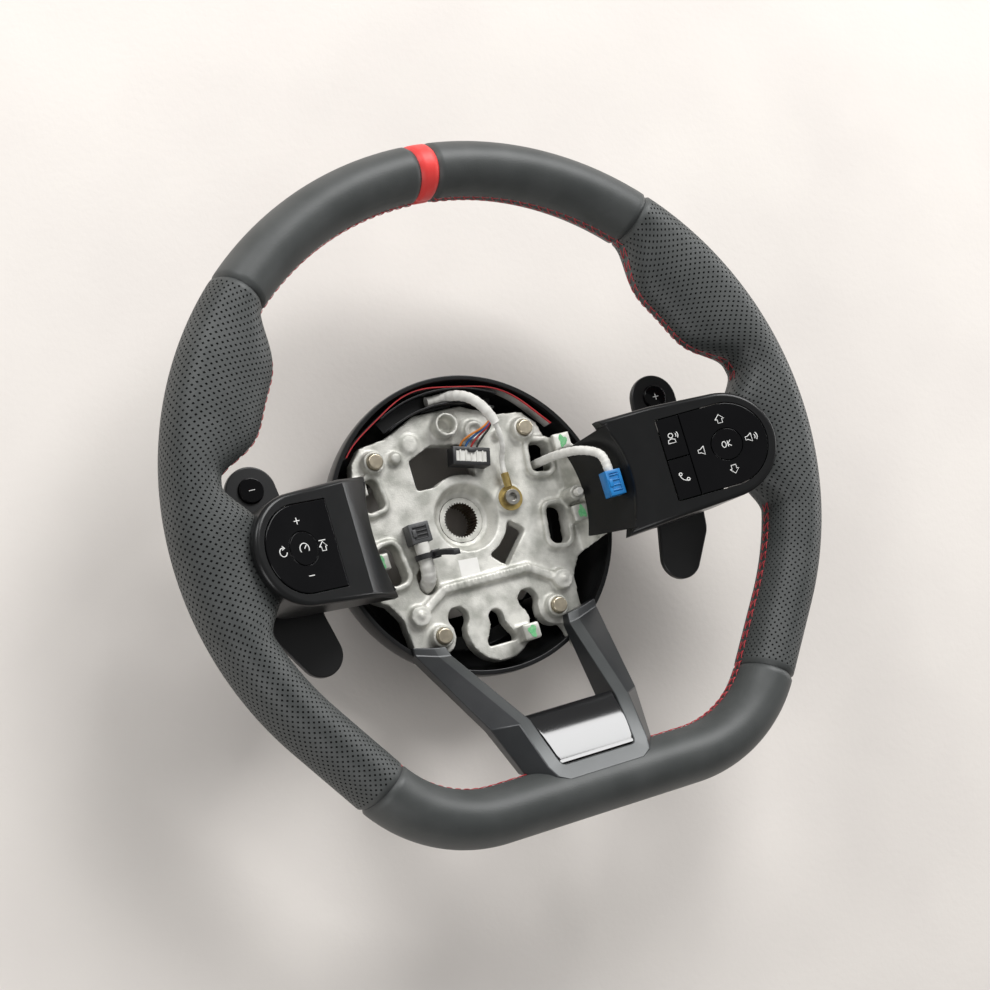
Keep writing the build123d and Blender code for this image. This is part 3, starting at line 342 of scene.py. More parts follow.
# Leather rim cover. The real one is six sewn panels of cowhide over foam: smooth hide at the top and the
# bottom, perforated hide on the two grips and a red strip at 12 o'clock. They are glued down and their
# long edges are laced together along the inside of the rim.
RIM_RADIUS = 0.170
RIM_CENTRE_Y = 0.007
RIM_LOW, RIM_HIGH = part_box("leather_top_right")
RIM_Z = (RIM_LOW.z + RIM_HIGH.z) / 2
HALF_WIDTH = 0.015
HALF_DEPTH = (RIM_HIGH.z - RIM_LOW.z) / 2
SECTION_STEPS = 96
SIDE_BREAK = radians(35)
FLAT_DROP = 0.1635
CORNER_RADIUS = 0.070
TOP_SEAM = radians(47)
THUMB_RISE, THUMB_ANGLE, THUMB_SPAN = 0.020, 29.5, 17.0
FLARE_RISE, FLARE_ANGLE, FLARE_SPAN = 0.019, -3.5, 14.5
MARKER_WIDTH = 0.011
HIDE = 0.0012
HIDE_CELL = 0.0018
HIDE_GIRTH = 0.112
HOLE_RADIUS = 0.00070
HOLE_AREA = 3 * HOLE_RADIUS ** 2
HOLE_DEPTH = 0.0007
HIDE_MERGE = 0.00002
PEBBLE_SCALE = 1100
PEBBLE_DEPTH = 0.00006
PEBBLE_STRENGTH = 0.5
SEAM_ROLL = 0.0022
SEAM_DIP = 0.0016
LACE_ROLL = 0.0030
LACE_DIP = 0.0009
SEAM_SHARE = 0.014
LEATHER_GREY = (0.056, 0.060, 0.059)
LEATHER_DARK = (0.042, 0.046, 0.045)
STRIP_RED = (0.78, 0.050, 0.045)
STRIP_RED_DARK = (0.62, 0.032, 0.030)
SPOKE_Y = -0.0036
HOUSING_END = 0.152
HOUSING_END_RADIUS = 0.029
HOUSING_WALL = 0.0015
HOUSING_BACK_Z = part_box("right_switch_housing")[0].z

arc_length = RIM_RADIUS * (pi / 2 + SIDE_BREAK)
break_drop = RIM_RADIUS * sin(SIDE_BREAK)
corner_tangent = CORNER_RADIUS * tan((pi / 2 - SIDE_BREAK) / 2)
side_length = (FLAT_DROP - break_drop) / cos(SIDE_BREAK) - corner_tangent
corner_length = CORNER_RADIUS * (pi / 2 - SIDE_BREAK)
seam_x = RIM_RADIUS * cos(SIDE_BREAK) - side_length * sin(SIDE_BREAK)
flat_half = seam_x - corner_tangent * (1 + sin(SIDE_BREAK))
half_path = arc_length + side_length + corner_length + flat_half


def rim_path(along):
    """Point and outward direction of the rim's path, a distance clockwise from 12 o'clock."""
    if along > half_path:
        along -= 2 * half_path
    side = 1 if along >= 0 else -1
    run = abs(along)
    if run <= arc_length:
        turn = pi / 2 - run / RIM_RADIUS
        x, y = RIM_RADIUS * cos(turn), RIM_RADIUS * sin(turn)
    elif run <= arc_length + side_length:
        turn = -SIDE_BREAK
        rest = run - arc_length
        x = RIM_RADIUS * cos(turn) - rest * sin(SIDE_BREAK)
        y = RIM_RADIUS * sin(turn) - rest * cos(SIDE_BREAK)
    elif run <= arc_length + side_length + corner_length:
        turn = -SIDE_BREAK - (run - arc_length - side_length) / CORNER_RADIUS
        x = flat_half + CORNER_RADIUS * cos(turn)
        y = CORNER_RADIUS - FLAT_DROP + CORNER_RADIUS * sin(turn)
    else:
        turn = -pi / 2
        x, y = half_path - run, -FLAT_DROP
    return Vector((side * x, RIM_CENTRE_Y + y, RIM_Z)), Vector((side * cos(turn), sin(turn), 0))


def swell(angle, centre, span):
    """A smooth hump from 0 to 1 about an angle of the rim."""
    share = min(abs(angle - centre) / span, 1)
    return (1 - share ** 4) ** 2


def inner_width(along):
    """How far the rim reaches in from its path: more at the thumb rests and where the spokes join."""
    if along > half_path:
        along -= 2 * half_path
    if abs(along) > arc_length:
        return HALF_WIDTH
    angle = 90 - degrees(abs(along) / RIM_RADIUS)
    thumb = THUMB_RISE * swell(angle, THUMB_ANGLE, THUMB_SPAN)
    return HALF_WIDTH + thumb + FLARE_RISE * swell(angle, FLARE_ANGLE, FLARE_SPAN)


def girth_shares(along):
    """Shares of the girth at equal steps of angle round the rim's section, from the inside edge round."""
    width = inner_width(along)
    girth = [0.0]
    for step in range(SECTION_STEPS):
        turn = pi + 2 * pi * (step + 0.5) / SECTION_STEPS
        across = HALF_WIDTH if cos(turn) > 0 else width
        girth.append(girth[-1] + hypot(across * sin(turn), HALF_DEPTH * cos(turn)))
    return [value / girth[-1] for value in girth]


def rim_surface(along, share, lift, shares):
    """A point on the leather: a distance along the rim, a share of the girth, and a height off the hide."""
    share = share % 1.0
    step = max(i for i in range(SECTION_STEPS) if shares[i] <= share)
    part = (share - shares[step]) / (shares[step + 1] - shares[step])
    turn = pi + 2 * pi * (step + part) / SECTION_STEPS
    across = HALF_WIDTH if cos(turn) > 0 else inner_width(along)
    normal = Vector((cos(turn) / across, sin(turn) / HALF_DEPTH)).normalized()
    point, out = rim_path(along)
    place = point + out * (across * cos(turn) + lift * normal.x)
    place.z += HALF_DEPTH * sin(turn) + lift * normal.y
    return place


def hide_finish(name, colour, second, rough):
    """Leather: a pebbled grain of small cells over the mottled tone."""
    material = mottled(name, colour, second,
                       patch=0.02, rough=rough, grain=0.0007, depth=0.00008)
    nodes, links, shader, place = texture_nodes(material)
    pebble = nodes.new("ShaderNodeTexVoronoi")
    pebble.inputs["Scale"].default_value = PEBBLE_SCALE
    links.new(place, pebble.inputs["Vector"])
    bump = nodes.new("ShaderNodeBump")
    bump.inputs["Distance"].default_value = PEBBLE_DEPTH
    bump.inputs["Strength"].default_value = PEBBLE_STRENGTH
    links.new(pebble.outputs["Distance"], bump.inputs["Height"])
    links.new(shader.inputs["Normal"].links[0].from_socket, bump.inputs["Normal"])
    links.new(bump.outputs["Normal"], shader.inputs["Normal"])
    return material


smooth_hide = hide_finish("smooth_hide", LEATHER_GREY, LEATHER_DARK, 0.50)
perforated_hide = hide_finish("perforated_hide", LEATHER_GREY, LEATHER_DARK, 0.52)
red_hide = hide_finish("red_hide", STRIP_RED, STRIP_RED_DARK, 0.48)
# The bottoms of the perforations are painted near black. The dark foam under the hide shows there, and a
# painted shade in the hollows makes them darker than the foam itself.
hole_painted_shade = mottled("hole_painted_shade", (0.006, 0.006, 0.006), (0.004, 0.004, 0.004),
                    patch=0.002, rough=0.9, grain=0.0004, depth=0.00002)


def under_housing(place):
    """Whether a point of the rim lies inside a switch housing, where no leather goes."""
    if place.z < HOUSING_BACK_Z + HOUSING_WALL:
        return False
    reach = HOUSING_END_RADIUS - HOUSING_WALL
    end = hypot(abs(place.x) - HOUSING_END + HOUSING_END_RADIUS, place.y - SPOKE_Y) < reach
    inward = abs(place.x) < HOUSING_END - HOUSING_END_RADIUS and abs(place.y - SPOKE_Y) < reach
    return end or inward


def choose_faces(piece, wanted):
    """Opens a piece for editing with only the wanted faces selected."""
    take_up(piece)
    bpy.ops.object.mode_set(mode="EDIT")
    bpy.ops.mesh.select_mode(type="FACE")
    bpy.ops.mesh.select_all(action="DESELECT")
    bpy.ops.object.mode_set(mode="OBJECT")
    for face in piece.data.polygons:
        face.select = wanted(face)
    bpy.ops.object.mode_set(mode="EDIT")


def prick(panel, length, rings, points):
    """Sinks a hole at every second point of a panel's flat grid."""
    # The hole bottoms get the near-black painted shade.
    panel.data.materials.append(hole_painted_shade)
    for vertex in panel.data.vertices:
        ring = round((vertex.co.x / length + 0.5) * rings)
        point = round((vertex.co.y / HIDE_GIRTH + 0.5) * points)
        inside = 1 < ring < rings - 1 and 1 < point < points - 1
        vertex.select = inside and (ring + point) % 2 == 0
    bpy.ops.object.mode_set(mode="EDIT")
    bpy.ops.mesh.bevel(offset=HOLE_RADIUS, segments=1, affect="VERTICES")
    choose_faces(panel, lambda face: face.area < HOLE_AREA)
    bpy.ops.mesh.extrude_region_move(TRANSFORM_OT_translate={"value": (0, 0, -HOLE_DEPTH)})
    panel.active_material_index = 1
    bpy.ops.object.material_slot_assign()
    bpy.ops.object.mode_set(mode="OBJECT")


def rim_panel(name, start, end, hide):
    """One panel: a flat grid, pricked if it has holes, laid round the rim and given the hide's thickness."""
    clear_selection()
    length = end - start
    rings = max(4, round(length / HIDE_CELL))
    points = 2 * round(HIDE_GIRTH / HIDE_CELL / 2)
    bpy.ops.mesh.primitive_grid_add(x_subdivisions=rings, y_subdivisions=points, size=1)
    panel = bpy.context.object
    panel.name = name
    panel.data.materials.append(hide)
    bpy.ops.object.mode_set(mode="EDIT")
    bpy.ops.transform.resize(value=(length, HIDE_GIRTH, 1))
    bpy.ops.mesh.select_mode(type="VERT")
    bpy.ops.mesh.select_all(action="DESELECT")
    bpy.ops.object.mode_set(mode="OBJECT")
    if hide == perforated_hide:
        prick(panel, length, rings, points)
    shares = {}
    for vertex in panel.data.vertices:
        along = start + vertex.co.x + length / 2
        ring = round(along, 5)
        if ring not in shares:
            shares[ring] = girth_shares(along)
        share = vertex.co.y / HIDE_GIRTH + 0.5
        from_end = min(along - start, end - along) / SEAM_ROLL
        from_lace = min(share, 1 - share) * HIDE_GIRTH / LACE_ROLL
        lift = vertex.co.z - SEAM_DIP * max(0, 1 - from_end) ** 2 - LACE_DIP * max(0, 1 - from_lace) ** 2
        vertex.co = rim_surface(along, share + SEAM_SHARE, lift, shares[ring])

    def covered(face):
        return all(under_housing(panel.data.vertices[index].co) for index in face.vertices)

    choose_faces(panel, covered)
    bpy.ops.mesh.delete(type="FACE")
    bpy.ops.mesh.select_all(action="SELECT")
    bpy.ops.mesh.remove_doubles(threshold=HIDE_MERGE)
    turn_outwards()
    apply_modifier(panel, "SOLIDIFY", thickness=HIDE, offset=-1)
    soften(SOFT_CREASE)
    return panel


marker_half = MARKER_WIDTH / 2
grip_start = RIM_RADIUS * (pi / 2 - TOP_SEAM)
grip_end = arc_length + side_length
hides = {"leather": smooth_hide, "perforated_leather": perforated_hide, "red_leather": red_hide}
panels = [("smooth_panel_top_right", marker_half, grip_start, "leather_top_right", "leather"),
          ("smooth_panel_top_left", -grip_start, -marker_half, "leather_top_left", "leather"),
          ("smooth_panel_bottom", grip_end, 2 * half_path - grip_end, "leather_bottom", "leather"),
          ("grip_panel_right", grip_start, grip_end, "leather_grip_right", "perforated_leather"),
          ("grip_panel_left", -grip_end, -grip_start, "leather_grip_left", "perforated_leather"),
          ("red_centre_strip", -marker_half, marker_half, "centre_marker", "red_leather")]
for panel_name, panel_start, panel_end, node, slot in panels:
    settle(rim_panel(panel_name, panel_start, panel_end, hides[slot]), "wheel", slot, node)


# Lacing. Waxed red thread pulls the long edges of the hide together along the inside of the rim, sewn by hand
# as two rows of short stitches with a crossing thread between each pair.
THREAD_RADIUS = 0.00022
STITCH_PITCH = 0.0060
STITCH_REACH = 0.42
STITCH_ROW = 0.0026
STITCH_HEIGHTS = ((0.0, -0.0005), (0.18, 0.00027), (0.5, 0.000375), (0.82, 0.00027), (1.0, -0.0005))
THREAD_RED = (0.40, 0.012, 0.024)
THREAD_PINK = (0.56, 0.045, 0.055)
TRIM_HALF = 0.033
HOUSING_HALF = 0.033


def stroke_set(name, strokes, radii, finish, sides=1):
    """Round strokes along lists of points, with a radius for each point, as one mesh with closed ends."""
    clear_selection()
    curve = bpy.data.curves.new(name, "CURVE")
    curve.dimensions = "3D"
    curve.bevel_depth = 1
    curve.bevel_resolution = sides
    curve.use_fill_caps = True
    for points in strokes:
        spline = curve.splines.new("POLY")
        spline.points.add(len(points) - 1)
        for spot, point, radius in zip(spline.points, points, radii):
            spot.co = (*point, 1)
            spot.radius = radius
    take_up(add_object(name, curve))
    bpy.ops.object.convert(target="MESH")
    piece = bpy.context.object
    piece.data.materials.append(finish)
    bpy.ops.object.shade_smooth()
    return piece


def stitch(along, share, to_along, to_share):
    """One stitch: down into the hide at both ends and lying on it between them."""
    points = []
    for part, lift in STITCH_HEIGHTS:
        place = along + (to_along - along) * part
        points.append(rim_surface(place, share + (to_share - share) * part, lift, girth_shares(place)))
    return points


stitches = []
upper_row = SEAM_SHARE + STITCH_ROW / HIDE_GIRTH
lower_row = SEAM_SHARE - STITCH_ROW / HIDE_GIRTH
stitch_count = round(2 * half_path / STITCH_PITCH)
for number in range(stitch_count):
    here = -half_path + (number + 0.5) * 2 * half_path / stitch_count
    centre, outward = rim_path(here)
    edge = centre - outward * inner_width(here)
    by_spoke = edge.x ** 2 > HOUSING_END_RADIUS ** 2 and abs(edge.y - SPOKE_Y) < HOUSING_HALF
    by_trim = edge.y < 0 and abs(edge.x) < TRIM_HALF
    if by_spoke or by_trim or abs(here) < marker_half:
        continue
    back, forward = here - STITCH_REACH * STITCH_PITCH, here + STITCH_REACH * STITCH_PITCH
    stitches.append(stitch(back, upper_row, forward, upper_row))
    stitches.append(stitch(back, lower_row, forward, lower_row))
    stitches.append(stitch(back, lower_row, forward, upper_row))
thread = mottled("waxed_thread", THREAD_PINK, THREAD_RED,
                 patch=0.003, rough=0.45, grain=0.0003, depth=0.00004)
settle(stroke_set("red_lacing", stitches, repeat(THREAD_RADIUS), thread), "wheel", "red_leather")


# Rear hub cover. A bowl injection-moulded in black plastic with a fine spark-eroded grain, screwed to the
# back of the casting with four pan-head screws.
DRIVE_EDGE = 0.0014
DRIVE_DEPTH = 0.0012
LEVEL_GAP = 0.0002
SQUARE_ON = 0.99
SATIN_BLACK = (0.009, 0.0092, 0.0095)
SATIN_DARK = (0.007, 0.0072, 0.0075)

satin_black = mottled("satin_black", SATIN_BLACK, SATIN_DARK,
                      patch=0.015, rough=0.28, grain=0.00035, depth=0.00001, gloss=0.3)
dress("rear_hub_cover", "hub_bowl", "wheel", "satin_black", satin_black, edge=0.0006, segments=2)
screw_steel = mottled("screw_steel", (0.34, 0.33, 0.30), (0.24, 0.23, 0.21),
                      patch=0.003, rough=0.35, grain=0.0004, depth=0.00002, metal=0.9)


def sink_drive(piece, direction, level):
    """Sinks a drive recess into each screw head that faces a way at a height."""
    choose_faces(piece, lambda face: face.normal.z * direction > SQUARE_ON
                 and abs(face.center.z - level) < LEVEL_GAP)
    bpy.ops.mesh.inset(thickness=DRIVE_EDGE, use_individual=True)
    bpy.ops.mesh.extrude_faces_move(MESH_OT_extrude_faces_indiv={},
                                    TRANSFORM_OT_shrink_fatten={"value": -DRIVE_DEPTH})
    bpy.ops.object.mode_set(mode="OBJECT")


cover_screws = rounded("cover_screws", "cover_pan_heads", screw_steel, edge=0.0003)
sink_drive(cover_screws, -1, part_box("cover_screws")[0].z)
settle(cover_screws, "wheel", "screw_steel", "cover_screws")


# Cable guide and ribbon. An open black channel clipped over the plate's top edge, and beside it the flat
# ribbon of the clock spring: pale film with one red edge, lying in slight waves.
RIBBON_EDGE = 0.0012
RIBBON_WAVE = 0.0021
RIBBON_WAVES = 9
HUB_CENTRE_Y = -0.005

dress("cable_guide", "clip_channel", "wheel", "satin_black", satin_black, edge=0.00025, segments=2)
ribbon_film = mottled("ribbon_film", (0.42, 0.41, 0.39), (0.30, 0.29, 0.28),
                      patch=0.006, rough=0.25, grain=0.001, depth=0.00005)
ribbon_red = mottled("ribbon_red", (0.50, 0.025, 0.03), (0.40, 0.02, 0.025),
                     patch=0.006, rough=0.3, grain=0.001, depth=0.00005)
ribbon = node_copy("ribbon_cable", "flat_ribbon")
ribbon.data.materials.append(ribbon_film)
ribbon.data.materials.append(ribbon_red)
red_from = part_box("ribbon_cable")[1].z - RIBBON_EDGE
edit_all(ribbon)
bpy.ops.mesh.bisect(plane_co=(0, 0, red_from), plane_no=(0, 0, 1))
bpy.ops.object.mode_set(mode="OBJECT")
for face in ribbon.data.polygons:
    face.material_index = 1 if face.center.z > red_from else 0
for vertex in ribbon.data.vertices:
    from_hub = vertex.co.y - HUB_CENTRE_Y
    turn = atan2(from_hub, vertex.co.x)
    wave = RIBBON_WAVE * (0.5 - 0.5 * cos(RIBBON_WAVES * turn))
    reach = 1 + wave / hypot(vertex.co.x, from_hub)
    vertex.co.x *= reach
    vertex.co.y = HUB_CENTRE_Y + from_hub * reach
soften(FINE_CREASE)
settle(ribbon, "wheel", "ribbon", "ribbon_cable")


# Wiring loom. White cloth tape wound round the leads that come out of the clock spring. Past the bend it
# thins to the ground lead, and four coloured wires branch off to a connector.
LOOM_ROUTE = [(-0.004, 0.06675, 0.00808), (0.004, 0.06695, 0.00808), (0.0115, 0.06555, 0.0195),
              (0.019, 0.058, 0.025), (0.025, 0.046, 0.025), (0.028, 0.033, 0.021),
              (0.027, 0.02508, 0.0137), (0.027, 0.01808, 0.0137)]
LOOM_RADIUS = 0.003
LOOM_THIN_FROM = 0.045
LOOM_THIN = 0.5
TAPE_LAP = 6
TAPE_STEP = 0.09
TAPE_CREASE = radians(40)
ROUTE_STEPS = 16
WIRE_RADIUS = 0.00062
WIRE_COLOURS = [(0.62, 0.20, 0.02), (0.02, 0.14, 0.42), (0.52, 0.03, 0.03), (0.02, 0.02, 0.02)]
WIRE_SHADE = 0.8
WIRE_SPREAD = 0.0032
WIRE_FAN = 0.3
WIRE_INSET = 0.0045
WIRE_SINK = 0.003
PLUG_SLANT = 0.27
BRANCH_POINT = Vector((0.0235, 0.0485, 0.0245))
WIRE_LEAVES = Vector((-0.002, -0.004, 0.001))
WIRE_BOW = Vector((0.003, 0.006, 0.003))
WIRE_LEAD_IN = Vector((0, 0.002, 0))


def route_points(route):
    """Points along the smooth line that a lead takes between its route's points."""
    curve = bpy.data.curves.new("route", "CURVE")
    curve.dimensions = "3D"
    spline = curve.splines.new("NURBS")
    spline.points.add(len(route) - 1)
    for spot, point in zip(spline.points, route):
        spot.co = (*point, 1)
    spline.order_u = 3
    spline.use_endpoint_u = True
    spline.resolution_u = ROUTE_STEPS
    carrier = bpy.data.objects.new("route", curve)
    line = bpy.data.meshes.new_from_object(carrier)
    points = [vertex.co.copy() for vertex in line.vertices]
    bpy.data.objects.remove(carrier)
    return points


def wound_lead(name, points, radii, finish):
    """A lead along a line of points, with its thickness at each."""
    piece = stroke_set(name, [points], radii, finish, 4)
    soften(TAPE_CREASE)
    return piece


def tape_radii(points, radius):
    """Thickness of a taped lead: each turn of tape laps over the one before."""
    return [radius * (1 - TAPE_STEP * (index % TAPE_LAP) / TAPE_LAP) for index in range(len(points))]


cloth_tape = mottled("cloth_tape", (0.74, 0.73, 0.69), (0.62, 0.61, 0.57),
                     patch=0.004, rough=0.7, grain=0.0004, depth=0.0001)
loom_line = route_points(LOOM_ROUTE)
loom_radii = tape_radii(loom_line, LOOM_RADIUS)
for index, point in enumerate(loom_line):
    if point.y < LOOM_THIN_FROM and point.z > LOOM_ROUTE[0][2]:
        loom_radii[index] *= LOOM_THIN
settle(wound_lead("taped_loom", loom_line, loom_radii, cloth_tape), "wheel", "white_tape", "main_loom")

connector_low, connector_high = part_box("loom_connector")
connector_x = (connector_low.x + connector_high.x) / 2
for number, colour in enumerate(WIRE_COLOURS):
    shift = (number - 1.5) * WIRE_SPREAD
    entry = Vector((connector_x + shift, connector_high.y - WIRE_INSET - shift * PLUG_SLANT,
                    connector_high.z - WIRE_SINK))
    leaving = BRANCH_POINT + WIRE_LEAVES + Vector((shift * WIRE_FAN, 0, 0))
    wire_line = route_points([BRANCH_POINT, leaving, entry + WIRE_BOW, entry + WIRE_LEAD_IN, entry])
    shade = tuple(WIRE_SHADE * part for part in colour)
    wire_finish = mottled("wire_cover_%d" % number, colour, shade,
                          patch=0.004, rough=0.35, grain=0.001, depth=0.00001)
    wire = wound_lead("branch_wire_%d" % number, wire_line, repeat(WIRE_RADIUS), wire_finish)
    settle(wire, "wheel", "white_tape")


# Connectors. Moulded nylon plug bodies: a black one with a white lock plate for the loom, a dark grey one for
# the airbag lead, and a blue one for the right-hand switches, each with ribs to grip and a latch on top.
PLUG_EDGE = 0.0004
LOCK_INSET = 0.0014
LOCK_SLOPE = 0.0003
LOCK_SINK = 0.0006
RIB_THICK = 0.0007
RIB_REACH = 0.34
RIB_SPAN = 0.30
LATCH_SIZE = (0.0042, 0.0022, 0.0014)
LATCH_REACH = 0.9
LATCH_EDGE = 0.0003
TOP_GAP = 0.0001


def nylon(name, colour, second, rough):
    """Moulded nylon with a fine matt grain."""
    return mottled(name, colour, second, patch=0.006, rough=rough, grain=0.0005, depth=0.00003)


nylon_black = nylon("nylon_black", (0.022, 0.022, 0.023), (0.016, 0.016, 0.017), 0.42)
nylon_grey = nylon("nylon_grey", (0.075, 0.076, 0.078), (0.055, 0.056, 0.058), 0.45)
nylon_white = nylon("nylon_white", (0.70, 0.69, 0.65), (0.60, 0.59, 0.55), 0.45)
nylon_blue = nylon("nylon_blue", (0.010, 0.19, 0.50), (0.008, 0.14, 0.38), 0.38)


def plug_body(node, name, size, body_finish, plate_finish, turn, ribs, slot):
    """A plug: a block with rounded edges, a sunk lock plate on top, grip ribs across it and a latch."""
    low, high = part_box(node)
    middle = (low + high) / 2
    plug = block(name, middle, (*size, high.z - low.z), turn)
    apply_modifier(plug, "BEVEL", width=PLUG_EDGE, segments=2)
    plug.data.materials.append(body_finish)
    plug.data.materials.append(plate_finish)
    choose_faces(plug, lambda face: face.normal.z > SQUARE_ON and face.center.z > high.z - TOP_GAP)
    bpy.ops.mesh.inset(thickness=LOCK_INSET, depth=0)
    bpy.ops.mesh.inset(thickness=LOCK_SLOPE, depth=-LOCK_SINK)
    plug.active_material_index = 1
    bpy.ops.object.material_slot_assign()
    bpy.ops.object.mode_set(mode="OBJECT")
    along = Vector((cos(turn), sin(turn), 0))
    across = Vector((-sin(turn), cos(turn), 0))
    reach = size[1] * RIB_REACH
    pieces = [plug]
    for step in range(ribs):
        place = middle + along * size[0] * RIB_SPAN * (2 * step / (ribs - 1) - 1)
        rib = block("rib", (place.x, place.y, high.z - LOCK_SINK),
                    (RIB_THICK, 2 * reach, 2 * LOCK_SINK), turn)
        apply_modifier(rib, "BEVEL", width=RIB_THICK / 4, segments=2)
        rib.data.materials.append(plate_finish)
        pieces.append(rib)
    place = middle + across * reach * LATCH_REACH
    latch = block("latch", (place.x, place.y, high.z), LATCH_SIZE, turn)
    apply_modifier(latch, "BEVEL", width=LATCH_EDGE, segments=2)
    latch.data.materials.append(body_finish)
    pieces.append(latch)
    clear_selection()
    for piece in pieces:
        piece.select_set(True)
    bpy.context.view_layer.objects.active = plug
    bpy.ops.object.join()
    soften(CREASE)
    settle(plug, "wheel", slot, node)


plug_body("loom_connector", "loom_plug", (0.022, 0.010), nylon_black, nylon_white,
          turn=radians(-15), ribs=5, slot="satin_black")
plug_body("airbag_connector", "airbag_plug", (0.011, 0.012), nylon_grey, nylon_black,
          turn=pi / 2, ribs=4, slot="satin_black")
plug_body("blue_connector", "blue_plug", (0.014, 0.0094), nylon_blue, nylon_blue,
          turn=pi / 2, ribs=4, slot="blue_plastic")


# Taped leads and cable tie. The airbag lead and the switch lead are wound in the same white cloth tape, and a
# black nylon tie with a square head and a cut tail holds the first one.
TAPED_ROUTE = [(-0.033, -0.00858, 0.01448), (-0.033, -0.024, 0.01448), (-0.033, -0.031, 0.009),
               (-0.033, -0.032, -0.004)]
TAPED_RADIUS = 0.0042
SWITCH_ROUTE = [(0.0515, 0.020, -0.004), (0.0525, 0.020, 0.012), (0.056, 0.0195, 0.028),
                (0.061, 0.0175, 0.042), (0.067, 0.0125, 0.0515), (0.0686, 0.00658, 0.053),
                (0.0686, 0.00108, 0.053)]
SWITCH_RADIUS = 0.0026
TIE_HEAD = (0.0052, 0.0046, 0.0036)
TIE_HEAD_RISE = 0.002
TIE_SHOULDER = 0.0008
TIE_TAIL = 0.0136
TIE_STEPS = 6
TIE_BEND = (0.0004, -0.0002)
TIE_EDGE = 0.0002
TIE_EDGE_FROM = radians(40)

for lead_name, route, radius, node in (("taped_airbag_lead", TAPED_ROUTE, TAPED_RADIUS, "taped_lead"),
                                       ("taped_switch_lead", SWITCH_ROUTE, SWITCH_RADIUS, "switch_lead")):
    line = route_points(route)
    settle(wound_lead(lead_name, line, tape_radii(line, radius), cloth_tape), "wheel", "white_tape", node)

tie = rounded("cable_tie", "nylon_tie", nylon_black, edge=TIE_EDGE, segments=2)
tie_low, tie_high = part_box("cable_tie")
tie_middle = (tie_low + tie_high) / 2
tie_head = block("tie_head", (tie_high.x, tie_middle.y, tie_middle.z + TIE_HEAD_RISE), TIE_HEAD)
choose_faces(tie_head, lambda face: face.normal.z > FACING)
bpy.ops.mesh.inset(thickness=TIE_SHOULDER, depth=0)
for step in range(TIE_STEPS):
    rise = (TIE_BEND[0] * step, TIE_BEND[1] * step, TIE_TAIL / TIE_STEPS)
    bpy.ops.mesh.extrude_region_move(TRANSFORM_OT_translate={"value": rise})
bpy.ops.object.mode_set(mode="OBJECT")
apply_modifier(tie_head, "BEVEL", width=TIE_EDGE, segments=2, limit_method="ANGLE", angle_limit=TIE_EDGE_FROM)
tie_head.data.materials.append(nylon_black)
tie.select_set(True)
bpy.context.view_layer.objects.active = tie
bpy.ops.object.join()
soften(CREASE)
settle(tie, "wheel", "satin_black", "cable_tie")


# Ground point and locating pin. A brass ring terminal under a plated screw carries the ground lead, and a
# white plastic pin in the casting centres the airbag.
brass = mottled("terminal_brass", (0.62, 0.47, 0.18), (0.50, 0.36, 0.13),
                patch=0.003, rough=0.28, grain=0.0005, depth=0.00002, metal=0.9)
dress("ground_terminal", "ring_terminal", "wheel", "brass", brass, edge=0.00015, segments=2, clamp=True)
dress("ground_screw", "ground_bolt", "wheel", "screw_steel", screw_steel, edge=0.0003, segments=2)
dress("locating_pin", "white_pin", "wheel", "white_plastic", nylon_white, edge=0.0006)


# Shift paddles. Flat blades moulded in black plastic, each on a steel hinge pin in a carrier behind the
# spoke, with a gloss disc on the thumb lobe that bears a plain plus or minus.
DISC_MARK = 0.0017
MARK_RADIUS = 0.00026
GLOSS_BLACK = (0.004, 0.004, 0.0045)
GLOSS_DARK = (0.003, 0.003, 0.0035)

gloss_black = mottled("gloss_black", GLOSS_BLACK, GLOSS_DARK,
                      patch=0.02, rough=0.06, grain=0.004, depth=0.000003, gloss=0.2)
white_print = mottled("white_print", (0.80, 0.80, 0.78), (0.72, 0.72, 0.70),
                      patch=0.002, rough=0.5, grain=0.0004, depth=0.00001)
paddle_black = mottled("paddle_black", (0.009, 0.009, 0.0095), (0.007, 0.007, 0.0075),
                       patch=0.015, rough=0.36, grain=0.0004, depth=0.00001)
refinish("paddle_hinge_pins", screw_steel)
for side in ("left", "right"):
    paddle, disc = side + "_paddle", side + "_paddle_disc"
    dress(paddle, side + "_paddle_blade", paddle, "satin_black", paddle_black, edge=0.0009)
    dress(side + "_paddle_carrier", side + "_hinge_carrier", "wheel", "satin_black", satin_black,
          edge=0.0004, segments=2)
    dress(disc, side + "_thumb_disc", paddle, "gloss_black", gloss_black, edge=0.0004)
    disc_low, disc_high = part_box(disc)
    top = Vector(((disc_low.x + disc_high.x) / 2, (disc_low.y + disc_high.y) / 2, disc_high.z))
    across, upright = Vector((DISC_MARK, 0, 0)), Vector((0, DISC_MARK, 0))
    marks = [[top - across, top + across]]
    if side == "right":
        marks.append([top - upright, top + upright])
    disc_mark = stroke_set(side + "_disc_mark", marks, repeat(MARK_RADIUS), white_print, 2)
    settle(disc_mark, paddle, "white_plastic")


# Switch housings. Shells moulded in satin black with a soft front edge, held from behind by two screws each
# through the paddle carrier and the spoke.
for side in ("left", "right"):
    dress(side + "_switch_housing", side + "_housing_shell", "wheel", "satin_black", satin_black,
          edge=0.0004, segments=2)
dress("housing_screws", "housing_pan_heads", "wheel", "screw_steel", screw_steel, edge=0.0003, segments=2)


